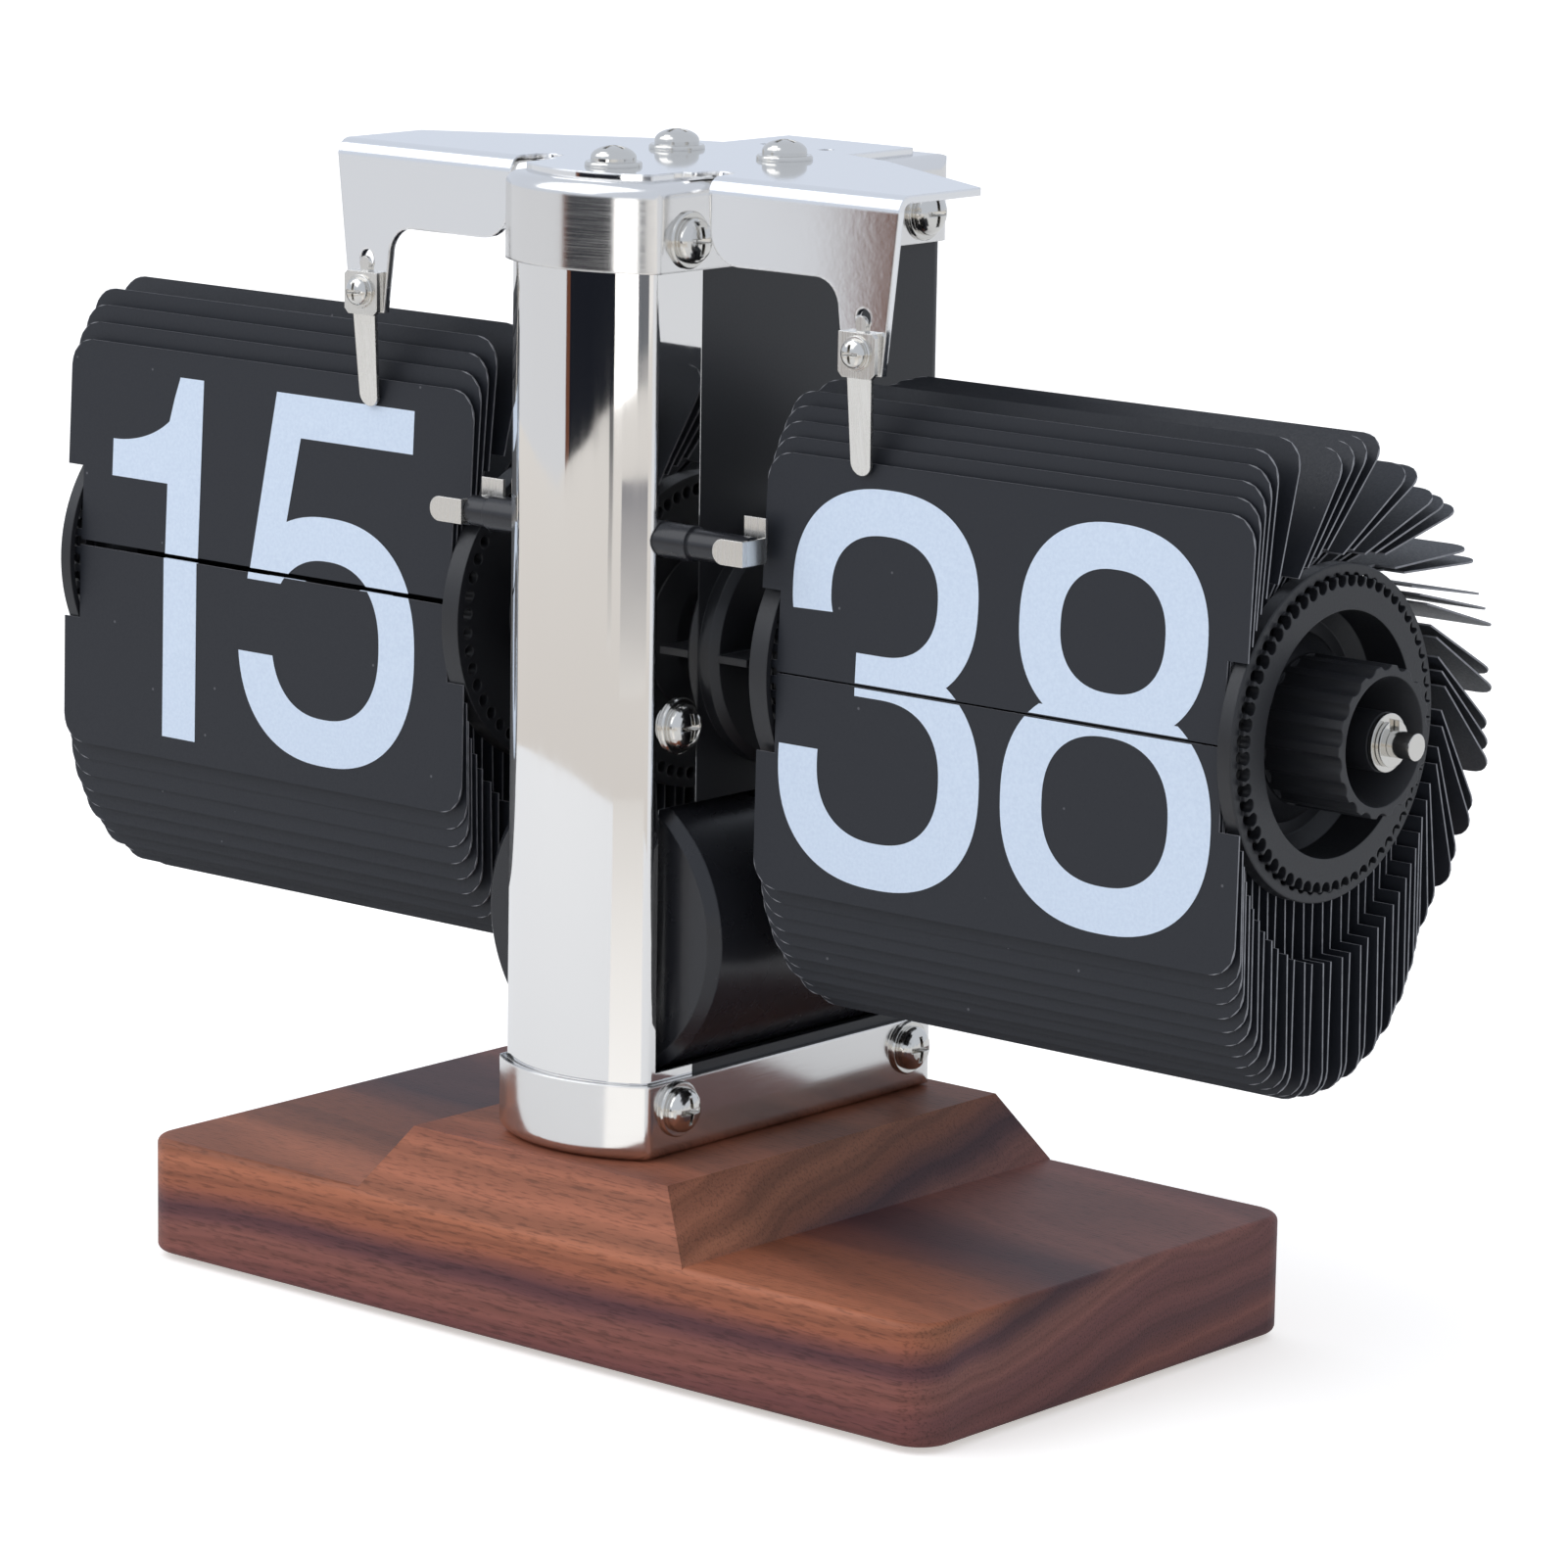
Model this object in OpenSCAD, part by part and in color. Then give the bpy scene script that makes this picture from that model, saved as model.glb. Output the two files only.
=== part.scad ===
// Desk flip clock: two drums of printed leaves on one axle, carried by a
// steel-capped column that stands on a shaped wooden base.
// Millimetres, +Z up, the dial side faces -Y. Origin: middle of the underside.

/* [Base] */
// Width of the wooden base
base_w = 164; // [150:1:190]
// Depth of the wooden base
base_d = 91; // [86:1:110]
// Height of the plinth's flat top above the table
plinth_top = 20; // [17:0.5:26]
// Radius of the plinth's upright corners
base_corner_r = 6; // [3:0.5:10]
// Radius of the plinth's eased edges
base_edge_r = 1.2; // [0.6:0.1:2]
// Rise of the raised block above the plinth
block_rise = 10.4; // [7:0.2:14]
// Width of the raised block where it meets the plinth
block_foot_w = 68; // [60:1:80]
// Width of the raised block's flat top
block_top_w = 53; // [44:1:58]
// Run of the raised block's slope at the front and the back
block_slope = 5.5; // [3.5:0.1:6.5]
// Diameter of a foot pad
pad_d = 14; // [10:0.5:18]
// Height of a foot pad below the wood
pad_h = 1; // [0.6:0.1:2]

/* [Column] */
// Width across the two caps
cap_w = 31.6; // [31.6:0.2:34]
// Distance of the cap's front corners ahead of the middle
cap_front = 32.1; // [32.1:0.1:33]
// Distance of the cap's back behind the middle
cap_back = 38; // [38:0.2:39]
// Bulge of the cap's front between its corners
cap_bulge = 5.5; // [4.5:0.1:6.5]
// Radius of the cap's rear corners
cap_rear_r = 3.5; // [2.5:0.1:5]
// Outer radius of the caps' rolled edges
cap_edge_r = 2.2; // [1.8:0.1:2.6]
// Sheet thickness of the caps
cap_sheet = 1; // [0.8:0.05:1.1]
// Radius of the caps' upright corners beside the bowed front
cap_corner_r = 1.6; // [1.4:0.1:2]
// Height of the bottom cap's skirt
cap_skirt = 12.1; // [11.5:0.1:12.4]
// Height of the top cap's skirt
top_skirt = 13.5; // [12:0.1:15]
// Height of the column from the wood to the top cap's roof
column_h = 150.8; // [149:0.2:170]
// Sheet thickness of the polished front cover
cover_t = 0.8; // [0.6:0.05:1]
// Radius of the bend between the cover's front and its side returns
cover_bend_r = 1.9; // [1.7:0.1:2.2]
// Wall thickness of the black rear cover
rear_t = 1.5; // [1.2:0.1:1.6]
// Distance of the joint between the covers ahead of the middle
cover_split = 21; // [20.8:0.1:22]

/* [Arm plate] */
// Sheet thickness of the arm plate
plate_t = 1.2; // [1:0.1:1.6]
// Width across the two arms
arm_span = 114; // [108:1:120]
// Distance of the front flange's face ahead of the middle
flange_front = 26.2; // [26:0.1:27]
// Outer radius of the flange's bend
bend_r = 2.5; // [2:0.1:3]
// Drop of the flange's lower edge below the plate's top
flange_drop = 13.1; // [11:0.1:14]
// Height of the two legs' lower ends above the axle
leg_rise = 47.6; // [47.4:0.1:49]
// Width of a leg at its lower end
leg_w = 7.2; // [6.8:0.1:8]
// Distance of the legs' middle from the clock's middle
finger_x = 50.6; // [48:0.2:51]
// Sheet thickness of the leaf fingers
finger_t = 0.6; // [0.4:0.05:0.8]
// Width of a finger's strip below its clamp
finger_w = 4.7; // [4:0.1:5]
// Sideways set of the fingers' tips, from turning with their screws
finger_set = 1.4; // [0:0.1:2]

/* [Leaves] */
// Width of a leaf
leaf_w = 90.5; // [84:0.5:96]
// Length of a leaf from its pin to its free edge
leaf_len = 32.1; // [31:0.1:32.4]
// Length of a leaf behind its pin
leaf_tail = 1.05; // [0.8:0.05:1.05]
// Thickness of a leaf
leaf_t = 0.3; // [0.2:0.02:0.3]
// Radius of a leaf's free corners
leaf_corner_r = 4.5; // [3:0.25:6]
// Depth of the notches that clear the discs
notch_w = 3.6; // [3.6:0.1:4]
// Length of the notches beyond the pin
notch_len = 11.2; // [11.2:0.1:12]
// Width of the pin tabs
ear_w = 1.2; // [0.8:0.05:1.2]
// Distance between the hour leaves and the minute leaves
leaf_gap = 60.8; // [60:0.4:68]
// Number of minute leaves
minute_leaves = 60; // [60:1:60]
// Number of hour leaves
hour_leaves = 48; // [48:1:48]

/* [Drums] */
// Height of the axle above the wood
axle_rise = 77.6; // [77.4:0.1:79]
// Distance of the axle ahead of the middle
axle_front = 2; // [1.8:0.1:2.4]
// Diameter of the axle
axle_d = 4; // [3.8:0.05:4]
// Radius of a leaf disc
disc_r = 24.9; // [24.8:0.05:25.2]
// Radius of the circle of pin holes
pin_r = 22.6; // [22.5:0.02:22.6]
// Thickness of a leaf disc
disc_t = 3.4; // [3.2:0.05:3.6]
// Diameter of the holes in the disc's rim
hole_d = 2; // [1.6:0.05:2]
// Depth of the groove that guides the leaf pins
race_depth = 1.6; // [1.5:0.05:1.7]
// Radius of the dished middle of an outer disc
dish_r = 18.2; // [17:0.1:18.6]
// Depth of the dish
dish_depth = 9; // [7:0.25:12]
// Radius of the drum's hub tube
hub_r = 6; // [5.5:0.1:6.4]
// Radius of the setting knob over its lobes
knob_r = 11.2; // [10.5:0.1:12.5]
// Number of lobes on the setting knob
knob_lobes = 18; // [14:1:20]
// Distance of the knob's end from the disc's face
knob_out = 8; // [7:0.25:11]
// Length of the axle beyond its retaining clip
axle_stub = 4; // [2:0.2:6]

/* [Standing leaves] */
// Lean of the front upright leaf, from the front over the top
upright_lean = 93; // [92:0.1:94]
// Lean of the last upright leaf
last_lean = 105; // [104:0.2:106]
// Hang of the front lower leaf
flap_hang = 271; // [270.6:0.1:271]

/* [Gear train] */
// Module of the minute pair of wheels
minute_module = 0.7; // [0.7:0.01:0.7]
// Teeth of the minute pinion and of the motor pinion
pinion_teeth = 12; // [12:1:12]
// Teeth of the carry wheel
carry_teeth = 48; // [48:1:48]
// Teeth of the carry pinion
carry_pinion_teeth = 12; // [12:1:12]
// Teeth of the hour wheel
hour_teeth = 72; // [72:1:72]
// Width of the gear wheels
gear_w = 3.2; // [2.4:0.1:3.4]
// Thickness of the movement's middle plate
movement_t = 3; // [2.4:0.2:4]
// Radius of the motor
motor_r = 10; // [8:0.25:11]

/* [Battery] */
// Radius of the battery barrel
barrel_r = 24.1; // [23.8:0.05:24.3]
// Height of the barrel's middle above the wood
barrel_rise = 34.4; // [34.2:0.05:34.8]
// Distance of the barrel's front ahead of the middle
barrel_front = 26.9; // [26.5:0.1:27.5]
// Diameter of the battery cell
cell_d = 33.6; // [32.2:0.1:34.2]
// Length of the battery cell
cell_len = 61.5; // [60:0.1:61.5]

/* [Clearances] */
// Radial clearance of a turning fit
run_fit = 0.05; // [0.03:0.01:0.08]
// Clearance between nested sheets
slip = 0.1; // [0.05:0.01:0.15]
// Clearance between a disc and the leaves beside it
disc_gap = 0.5; // [0.4:0.02:0.6]
// Clearance between a finger and the leaf it holds
leaf_clear = 0.3; // [0.2:0.02:0.4]
// Backlash taken off each flank of a tooth
backlash = 0.07; // [0.05:0.01:0.1]

/* [Hidden] */
$fn = 96;
block_top = plinth_top + block_rise;
block_foot_d = base_d - 0.58 * base_edge_r;
block_top_d = base_d - 2 * block_slope;
column_top = block_top + column_h;
plate_top = column_top + plate_t;
cap_half = cap_w / 2;
cover_in = cap_sheet + slip;
front_inner = cap_half - cover_in - cover_t;
rear_inner = cap_half - cover_in - rear_t;
floor_top = block_top + cap_sheet;
roof_under = column_top - cap_sheet;
cover_low = floor_top + cap_edge_r - cap_sheet;
cover_high = roof_under - cap_edge_r + cap_sheet;
front_r = (cap_half * cap_half + cap_bulge * cap_bulge) / (2 * cap_bulge);
front_cy = front_r - cap_front - cap_bulge;
axle_y = -axle_front;
axle_z = block_top + axle_rise;
leaf_in = leaf_gap / 2;
leaf_out = leaf_in + leaf_w;
disc_in = leaf_in + notch_w - disc_gap - disc_t;
disc_out = leaf_out - notch_w + disc_gap + disc_t;
ear_len = disc_gap + race_depth - 0.4;
race_in = pin_r - 1.1;
race_out = pin_r + 1.3;
front_lift = 0.35;
bore_r = axle_d / 2 + run_fit;
gear_x = 5;
hub_start = gear_x + gear_w;
web_face = disc_out - dish_depth;
knob_end = disc_out + knob_out;
washer_t = 0.6;
washer_x = knob_end + 0.2;
clip_t = 0.8;
clip_x = washer_x + washer_t + 0.1;
axle_end = clip_x + clip_t + axle_stub;
centre_d = minute_module * (pinion_teeth + carry_teeth) / 2;
hour_module = 2 * centre_d / (carry_pinion_teeth + hour_teeth);
carry_z = axle_z + centre_d;
motor_z = carry_z + centre_d;
arbor_r = 1.5;
barrel_z = block_top + barrel_rise;
bore_cell = cell_d / 2 + 0.4;
cell_start = -barrel_front + 3;
cell_end = cell_start + cell_len;
barrel_step = cap_back - cover_in - rear_t - 0.2;
barrel_end = cell_end + 2.6;
neck_r = barrel_r - 2.6;
leg_low = axle_z + leg_rise;
stop_z = axle_z + 19.2;
stop_y = -28.9;
stop_r = 2.35;
stop_left = -24.9;
stop_right = 32.05;
screw_r = 2;
clamp_t = 0.9;
head_r = 4.4;
cap_screw_y = [-25.6, cap_back - 7.6];
cap_screw_z = [block_top + 7.6, column_top - 8.7];
move_screw_y = -25.3;
move_screw_z = axle_z - 10;

// Placement helpers

// Turns a child drawn round Z so that it lies along X on the clock's axle.
module on_axle(x) translate([x, axle_y, axle_z]) rotate([0, 90, 0]) children();

// A cylinder along X that starts at the given point.
module bar_x(x, y, z, len, r) translate([x, y, z]) rotate([0, 90, 0])
  cylinder(r = r, h = len);

// Draws a child on both sides of the clock's middle plane.
module both_sides() {
  children();
  mirror([1, 0, 0]) children();
}

// Points of an arc, from angle a to angle b.
function arc(cx, cy, r, a, b, n) =
  [for (i = [0:n]) [cx + r * cos(a + (b - a) * i / n), cy + r * sin(a + (b - a) * i / n)]];

// Base

// Rectangle that stands on y = 0, with all four corners rounded.
module soft_rect(w, h, r) {
  translate([0, h / 2]) square([w - 2 * r, h], center = true);
  translate([0, h / 2]) square([w, h - 2 * r], center = true);
  for (sx = [-1, 1], y = [r, h - r]) translate([sx * (w / 2 - r), y]) circle(r, $fn = 48);
}

// Board with round upright corners of radius r and edges eased by e.
module soft_board(w, d, h, r, e) {
  rotate([90, 0, 90]) linear_extrude(w - 2 * r, center = true) soft_rect(d, h, e);
  rotate([90, 0, 0]) linear_extrude(d - 2 * r, center = true) soft_rect(w, h, e);
  for (sx = [-1, 1], sy = [-1, 1]) translate([sx * (w / 2 - r), sy * (d / 2 - r), 0])
    rotate_extrude() intersection() {
      soft_rect(2 * r, h, e);
      square([r, h]);
    }
}

function pad_places() = [for (sx = [-1, 1], sy = [-1, 1])
  [sx * (base_w / 2 - pad_d), sy * (base_d / 2 - pad_d)]];

base_screw_y = [-cap_front + 5.5, cap_back - 7];

// The block is a trapezoid both from the front and from the side.
module raised_block() intersection() {
  rotate([90, 0, 0]) linear_extrude(base_d, center = true)
    polygon([[-block_foot_w / 2, pad_h + 4], [block_foot_w / 2, pad_h + 4],
      [block_foot_w / 2, plinth_top], [block_top_w / 2, block_top],
      [-block_top_w / 2, block_top], [-block_foot_w / 2, plinth_top]]);
  rotate([90, 0, 90]) linear_extrude(block_foot_w, center = true)
    polygon([[-block_foot_d / 2, pad_h + 4], [block_foot_d / 2, pad_h + 4],
      [block_foot_d / 2, plinth_top - 0.29 * base_edge_r], [block_top_d / 2, block_top],
      [-block_top_d / 2, block_top], [-block_foot_d / 2, plinth_top - 0.29 * base_edge_r]]);
}

module wooden_base() color("sienna") difference() {
  union() {
    translate([0, 0, pad_h])
      soft_board(base_w, base_d, plinth_top - pad_h, base_corner_r, base_edge_r);
    raised_block();
  }
  for (p = pad_places()) translate([p[0], p[1], pad_h - 1]) cylinder(d = pad_d + 0.2, h = 1.8);
  for (y = base_screw_y) {
    translate([0, y, pad_h - 1]) cylinder(r = 6, h = 11);
    translate([0, y, 0]) cylinder(r = 2.7, h = block_top + 1);
  }
}

module foot_pads() color("dimgray") for (p = pad_places())
  translate([p[0], p[1], 0]) cylinder(d = pad_d, h = pad_h + 0.8);

module base_screws() color("silver") for (y = base_screw_y) translate([0, y, pad_h + 7]) {
  difference() {
    cylinder(r = 4.5, h = 3);
    translate([0, 0, -1]) cylinder(r = 2.3, h = 3, $fn = 6);
  }
  translate([0, 0, 3]) cylinder(r = 2.5, h = floor_top - pad_h - 10 + 5);
}

module base_nuts() color("silver") for (y = base_screw_y) translate([0, y, floor_top])
  difference() {
    cylinder(r = 4.6, h = 4, $fn = 6);
    translate([0, 0, -1]) cylinder(r = 2.52, h = 6);
  }

// Column

// Plan of the column: straight sides, a bowed front and round rear corners.
module column_plan(inset) {
  w = cap_half - inset;
  back = cap_back - inset;
  rr = cap_rear_r - inset;
  intersection() {
    translate([-w, -90]) square([2 * w, 90 + front_cy]);
    translate([0, front_cy]) circle(front_r - inset, $fn = 180);
  }
  translate([-w, front_cy]) square([2 * w, back - rr - front_cy]);
  translate([-w + rr, front_cy]) square([2 * (w - rr), back - front_cy]);
  for (s = [-1, 1]) translate([s * (w - rr), back - rr]) circle(rr);
}

// The same plan with its front corners bent to radius q: circles that touch
// the bow and the sides.
module column_outline(inset, q) {
  w = cap_half - inset;
  bow = front_r - inset;
  corner_y = front_cy - sqrt(pow(bow - q, 2) - pow(w - q, 2));
  touch_x = bow * (w - q) / (bow - q);
  difference() {
    column_plan(inset);
    for (s = [-1, 1]) translate([s * (touch_x + 10) - 10, -90]) square([20, 90 + corner_y]);
  }
  for (s = [-1, 1]) translate([s * (w - q), corner_y]) circle(q, $fn = 48);
}

module cap_screw_holes(z, r) for (y = cap_screw_y)
  bar_x(-cap_w, y, z, 2 * cap_w, r);

// Rectangle that stands on y = 0, with its two lower corners rounded.
module tub_profile(half_w, h, r) {
  translate([-half_w, r]) square([2 * half_w, h - r]);
  translate([r - half_w, 0]) square([2 * (half_w - r), h]);
  for (s = [-1, 1]) translate([s * (half_w - r), r]) circle(r, $fn = 48);
}

// Solid of the column's plan with its lower edge rolled in by r: the straight
// sides and the back are profiles, and the bowed front is a revolve.
module tub(inset, h, r) intersection() {
  linear_extrude(h) column_outline(inset, cap_corner_r - inset);
  rotate([90, 0, 0]) linear_extrude(4 * cap_back, center = true)
    tub_profile(cap_half - inset, h, r);
  union() {
    translate([0, front_cy, 0]) rotate_extrude($fn = 180) intersection() {
      tub_profile(front_r - inset, h, r);
      square([front_r, h]);
    }
    translate([0, front_cy, 0]) rotate([90, 0, 90]) linear_extrude(cap_w, center = true)
      intersection() {
        tub_profile(cap_back - inset - front_cy, h, r);
        square([2 * cap_back, h]);
      }
  }
}

module bottom_cap() color("gainsboro") difference() {
  translate([0, 0, block_top]) tub(0, cap_skirt, cap_edge_r);
  translate([0, 0, floor_top]) tub(cap_sheet, cap_skirt, cap_edge_r - cap_sheet);
  cap_screw_holes(cap_screw_z[0], screw_r + 0.1);
  for (y = base_screw_y) translate([0, y, block_top - 1]) cylinder(r = 2.7, h = 4);
}

module top_cap() color("gainsboro") difference() {
  translate([0, 0, column_top]) mirror([0, 0, 1]) tub(0, top_skirt, cap_edge_r);
  translate([0, 0, roof_under]) mirror([0, 0, 1]) tub(cap_sheet, top_skirt, cap_edge_r - cap_sheet);
  cap_screw_holes(cap_screw_z[1], screw_r + 0.1);
  for (p = top_screw_places()) translate([p[0], p[1], column_top - 4])
    cylinder(r = screw_r + 0.1, h = 8);
}

module cover_ring(t) difference() {
  column_outline(cover_in, cover_bend_r);
  column_outline(cover_in + t, cover_bend_r - cover_t);
}

module side_windows() {
  half = sqrt(barrel_r * barrel_r - rear_inner * rear_inner) + 0.5;
  translate([-cap_w, -29.6, barrel_z - half])
    cube([2 * cap_w, barrel_step + 29.6 + 0.1, 2 * half]);
}

// Polished sheet bent round the front, with a short return down each side.
module front_cover() color("whitesmoke") difference() {
  translate([0, 0, cover_low]) linear_extrude(cover_high - cover_low) intersection() {
    cover_ring(cover_t);
    translate([-cap_w, -90]) square([2 * cap_w, 90 - cover_split]);
  }
  side_windows();
  for (z = cap_screw_z) cap_screw_holes(z, screw_r + 0.1);
  bar_x(-cap_w, move_screw_y, move_screw_z, 2 * cap_w, screw_r + 0.1);
  bar_x(-cap_w, stop_y, stop_z, 2 * cap_w, stop_r + 0.5);
}

// Moulded back of the column, with a round housing beside each drum and a
// ring round the end of the barrel, which is wider than the column.
module rear_cover() color("black") difference() {
  union() {
    translate([0, 0, cover_low]) linear_extrude(cover_high - cover_low) intersection() {
      cover_ring(rear_t);
      translate([-cap_w, slip - cover_split]) square([2 * cap_w, 90]);
    }
    both_sides() hub_housing();
    translate([0, cap_back - cover_in - rear_t, barrel_z]) rotate([-90, 0, 0])
      cylinder(r = barrel_r, h = rear_t);
  }
  side_windows();
  for (z = cap_screw_z) cap_screw_holes(z, screw_r + 0.1);
  bar_x(-cap_w, axle_y, axle_z, 2 * cap_w, hub_r + 1);
  translate([0, 20, barrel_z]) rotate([-90, 0, 0]) cylinder(r = neck_r + 0.2, h = 30);
}

housing_r = min(cover_split - axle_front - 0.2, 19);

module hub_housing() {
  x0 = cap_half - cover_in;
  on_axle(x0 - 0.4) rotate_extrude() polygon([[hub_r + 1, 2.2], [housing_r - 1.5, 2.2],
    [housing_r - 1.5, 0], [housing_r, 0], [housing_r, 2.4], [housing_r - 1.2, 3.6], [hub_r + 1, 3.6]]);
  translate([x0 - 0.4, axle_y - housing_r + 1, axle_z - 0.6]) cube([9.2, housing_r - hub_r - 3, 1.2]);
}

// Arm plate

function top_screw_places() = [[0, -cap_front + 7], [11, 2], [-11, 2]];

module arm_plan() difference() {
  union() {
    intersection() {
      column_plan(3);
      translate([-90, -90]) square([180, 121]);
    }
    polygon([[-arm_span / 2, bend_r - flange_front], [arm_span / 2, bend_r - flange_front],
      [arm_span / 2, -7.2], [23.4, 11.8], [10, 16], [-10, 16], [-23.4, 11.8],
      [-arm_span / 2, -7.2]]);
  }
  both_sides() {
    translate([cap_half - 1.2, -40]) square([5.6, 18.6]);
    translate([cap_half + 1.6, -21.4]) circle(2.8);
  }
  both_sides() translate([6, 18]) circle(1.25);
  for (p = top_screw_places()) translate(p) circle(screw_r + 0.1);
}

// One arm's flange and leg seen from the front.
function flange_points() = concat(
  [[arm_span / 2, plate_top - bend_r], [finger_x + leg_w / 2, leg_low]],
  [[finger_x - leg_w / 2, leg_low]],
  arc(finger_x - leg_w / 2 - 5.6, plate_top - flange_drop - 4.4, 4.4, 0, 90, 8),
  arc(cap_half + 10.2, plate_top - flange_drop + 5.6, 5.6, -90, -180, 8),
  [[cap_half + 4.4, plate_top - bend_r]]);

module arm_flange() difference() {
  translate([0, plate_t - flange_front, 0]) rotate([90, 0, 0])
    linear_extrude(plate_t) polygon(flange_points());
  translate([finger_x, 0, leg_low + 3.3]) rotate([90, 0, 0]) cylinder(r = 1.35, h = 60);
  translate([finger_x, 0, leg_low + 8.4]) rotate([90, 0, 0]) cylinder(r = 1.4, h = 60);
}

module arm_bend() translate([cap_half + 4.4, bend_r - flange_front, plate_top - bend_r])
  rotate([90, 0, 90]) linear_extrude(arm_span / 2 - cap_half - 4.4) intersection() {
    difference() {
      circle(bend_r);
      circle(bend_r - plate_t);
    }
    translate([-bend_r, 0]) square([bend_r, bend_r]);
  }

module arm_plate() color("gainsboro") {
  translate([0, 0, column_top]) linear_extrude(plate_t) arm_plan();
  both_sides() {
    arm_flange();
    arm_bend();
  }
}

// Y of the front of an upright leaf at height z.
function leaf_front(first, z) = axle_y - (pin_r + front_lift) * cos(first)
  + (z - axle_z - (pin_r + front_lift) * sin(first)) * tan(upright_lean - 90) - leaf_t / 2;

// Spring finger: a strip that leans back to the free edge of the leaf, with a
// neck up to the leg's round hole, under a clamping plate. The tip's set goes
// the same way on both arms, so it changes sign with the side.
module finger(first, side) {
  low = leg_low - 15.4;
  tip = leaf_front(first, low) - leaf_clear;
  top = -flange_front;
  tip_x = finger_x - side * finger_set;
  tip_r = 0.4 * finger_w;
  difference() {
    intersection() {
      translate([finger_x - 6, 0, 0]) rotate([90, 0, 90]) linear_extrude(12)
        polygon([[top, leg_low + 9], [top - finger_t, leg_low + 9], [top - finger_t, leg_low - 0.4],
          [tip - finger_t, low], [tip, low], [top, leg_low - 0.2]]);
      translate([0, 40, 0]) rotate([90, 0, 0]) linear_extrude(90) union() {
        translate([finger_x - 3.2, leg_low]) square([6.4, 6.4]);
        translate([finger_x - 0.85, leg_low + 6]) square([1.7, 1.8]);
        translate([finger_x, leg_low + 7.7]) circle(1.05, $fn = 32);
        polygon([[finger_x - finger_w / 2, leg_low + 1], [finger_x + finger_w / 2, leg_low + 1],
          [tip_x + tip_r, low + tip_r], [tip_x - tip_r, low + tip_r]]);
        translate([tip_x, low + tip_r]) circle(tip_r, $fn = 32);
      }
    }
    translate([finger_x, 0, leg_low + 3.3]) rotate([90, 0, 0]) cylinder(r = 1.35, h = 60);
  }
  difference() {
    translate([0, top - finger_t, 0]) rotate([90, 0, 0]) linear_extrude(clamp_t)
      translate([finger_x, leg_low]) polygon([[-3.5, 0.4], [-2.7, -0.4], [2.7, -0.4], [3.5, 0.4],
        [3.5, 5.8], [2.9, 6.4], [-3.5, 6.4]]);
    translate([finger_x, 0, leg_low + 3.3]) rotate([90, 0, 0]) cylinder(r = 1.35, h = 60);
  }
}

module minute_finger() color("silver") finger(minute_first, 1);
module hour_finger() color("silver") mirror([1, 0, 0]) finger(hour_first, -1);

// Tapered wings of a cross recess, cut from height z down by depth.
module cross_recess(z, wing, depth) for (a = [0, 90]) rotate(a) rotate([90, 0, 0])
  linear_extrude(0.34 * wing, center = true) polygon([[-wing, z + 1], [-wing, z - 0.3 * depth],
    [-0.4 * wing, z - depth], [0.4 * wing, z - depth], [wing, z - 0.3 * depth], [wing, z + 1]]);

// Domed pan head on a pressed washer, turned round Z; its underside is at z = 0.
module pan_head(r_washer, t_washer, r, h) rotate_extrude() polygon(concat(
  [[0, 0], [r_washer, 0], [r_washer, 0.6 * t_washer], [r_washer - 0.3 * t_washer, t_washer],
    [r, t_washer]],
  [for (i = [0:7]) [r * cos(90 * i / 8), t_washer + 0.25 * h + 0.75 * h * sin(90 * i / 8)]],
  [[0, t_washer + h]]));

module finger_screws() color("silver") both_sides()
  translate([finger_x, -flange_front - finger_t - clamp_t, leg_low + 3.3]) rotate([90, 0, 0]) {
    difference() {
      pan_head(2.7, 0.4, 2.2, 1.5);
      cross_recess(1.9, 1.4, 1.2);
    }
    through = plate_t + finger_t + clamp_t + 0.8;
    translate([0, 0, -through]) cylinder(r = 1.25, h = through);
  }

// Pan-head screw with a pressed washer; the head's underside is at z = 0.
module pan_screw(len) {
  difference() {
    pan_head(head_r, 0.7, 3.5, 2.4);
    cross_recess(3.1, 2.1, 1.9);
  }
  translate([0, 0, -len]) cylinder(r = screw_r, h = len);
}

module top_screws() color("silver") for (p = top_screw_places())
  translate([p[0], p[1], plate_top]) pan_screw(7);

module cap_screws() color("silver") both_sides() for (y = cap_screw_y, z = cap_screw_z)
  translate([cap_half, y, z]) rotate([0, 90, 0]) pan_screw(6);

module movement_screws() color("silver") both_sides()
  translate([cap_half - cover_in, move_screw_y, move_screw_z]) rotate([0, 90, 0]) pan_screw(8);

// Movement

module movement_frame() color("dimgray") difference() {
  union() {
    translate([-movement_t / 2, -20, axle_z - 16]) cube([movement_t, 47, roof_under - axle_z + 16 - 12]);
    translate([-movement_t / 2, move_screw_y, move_screw_z - 3]) cube([movement_t, 8, 6]);
    bar_x(-front_inner, move_screw_y, move_screw_z, 2 * front_inner, 4.4);
    for (z = [axle_z - 10, motor_z + 6]) bar_x(-rear_inner, 23, z, 2 * rear_inner, 3.6);
    bar_x(0.2 - gear_x, axle_y, axle_z, 2 * gear_x - 0.4, 5);
    bar_x(0.2 - gear_x, axle_y, carry_z, 2 * gear_x - 0.4, 4);
  }
  bar_x(-30, axle_y, axle_z, 60, axle_d / 2 + 0.02);
  bar_x(-30, axle_y, carry_z, 60, arbor_r + run_fit);
  bar_x(-30, axle_y, motor_z, 60, 1.6);
  bar_x(-30, move_screw_y, move_screw_z, 60, screw_r + 0.02);
}

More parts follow.
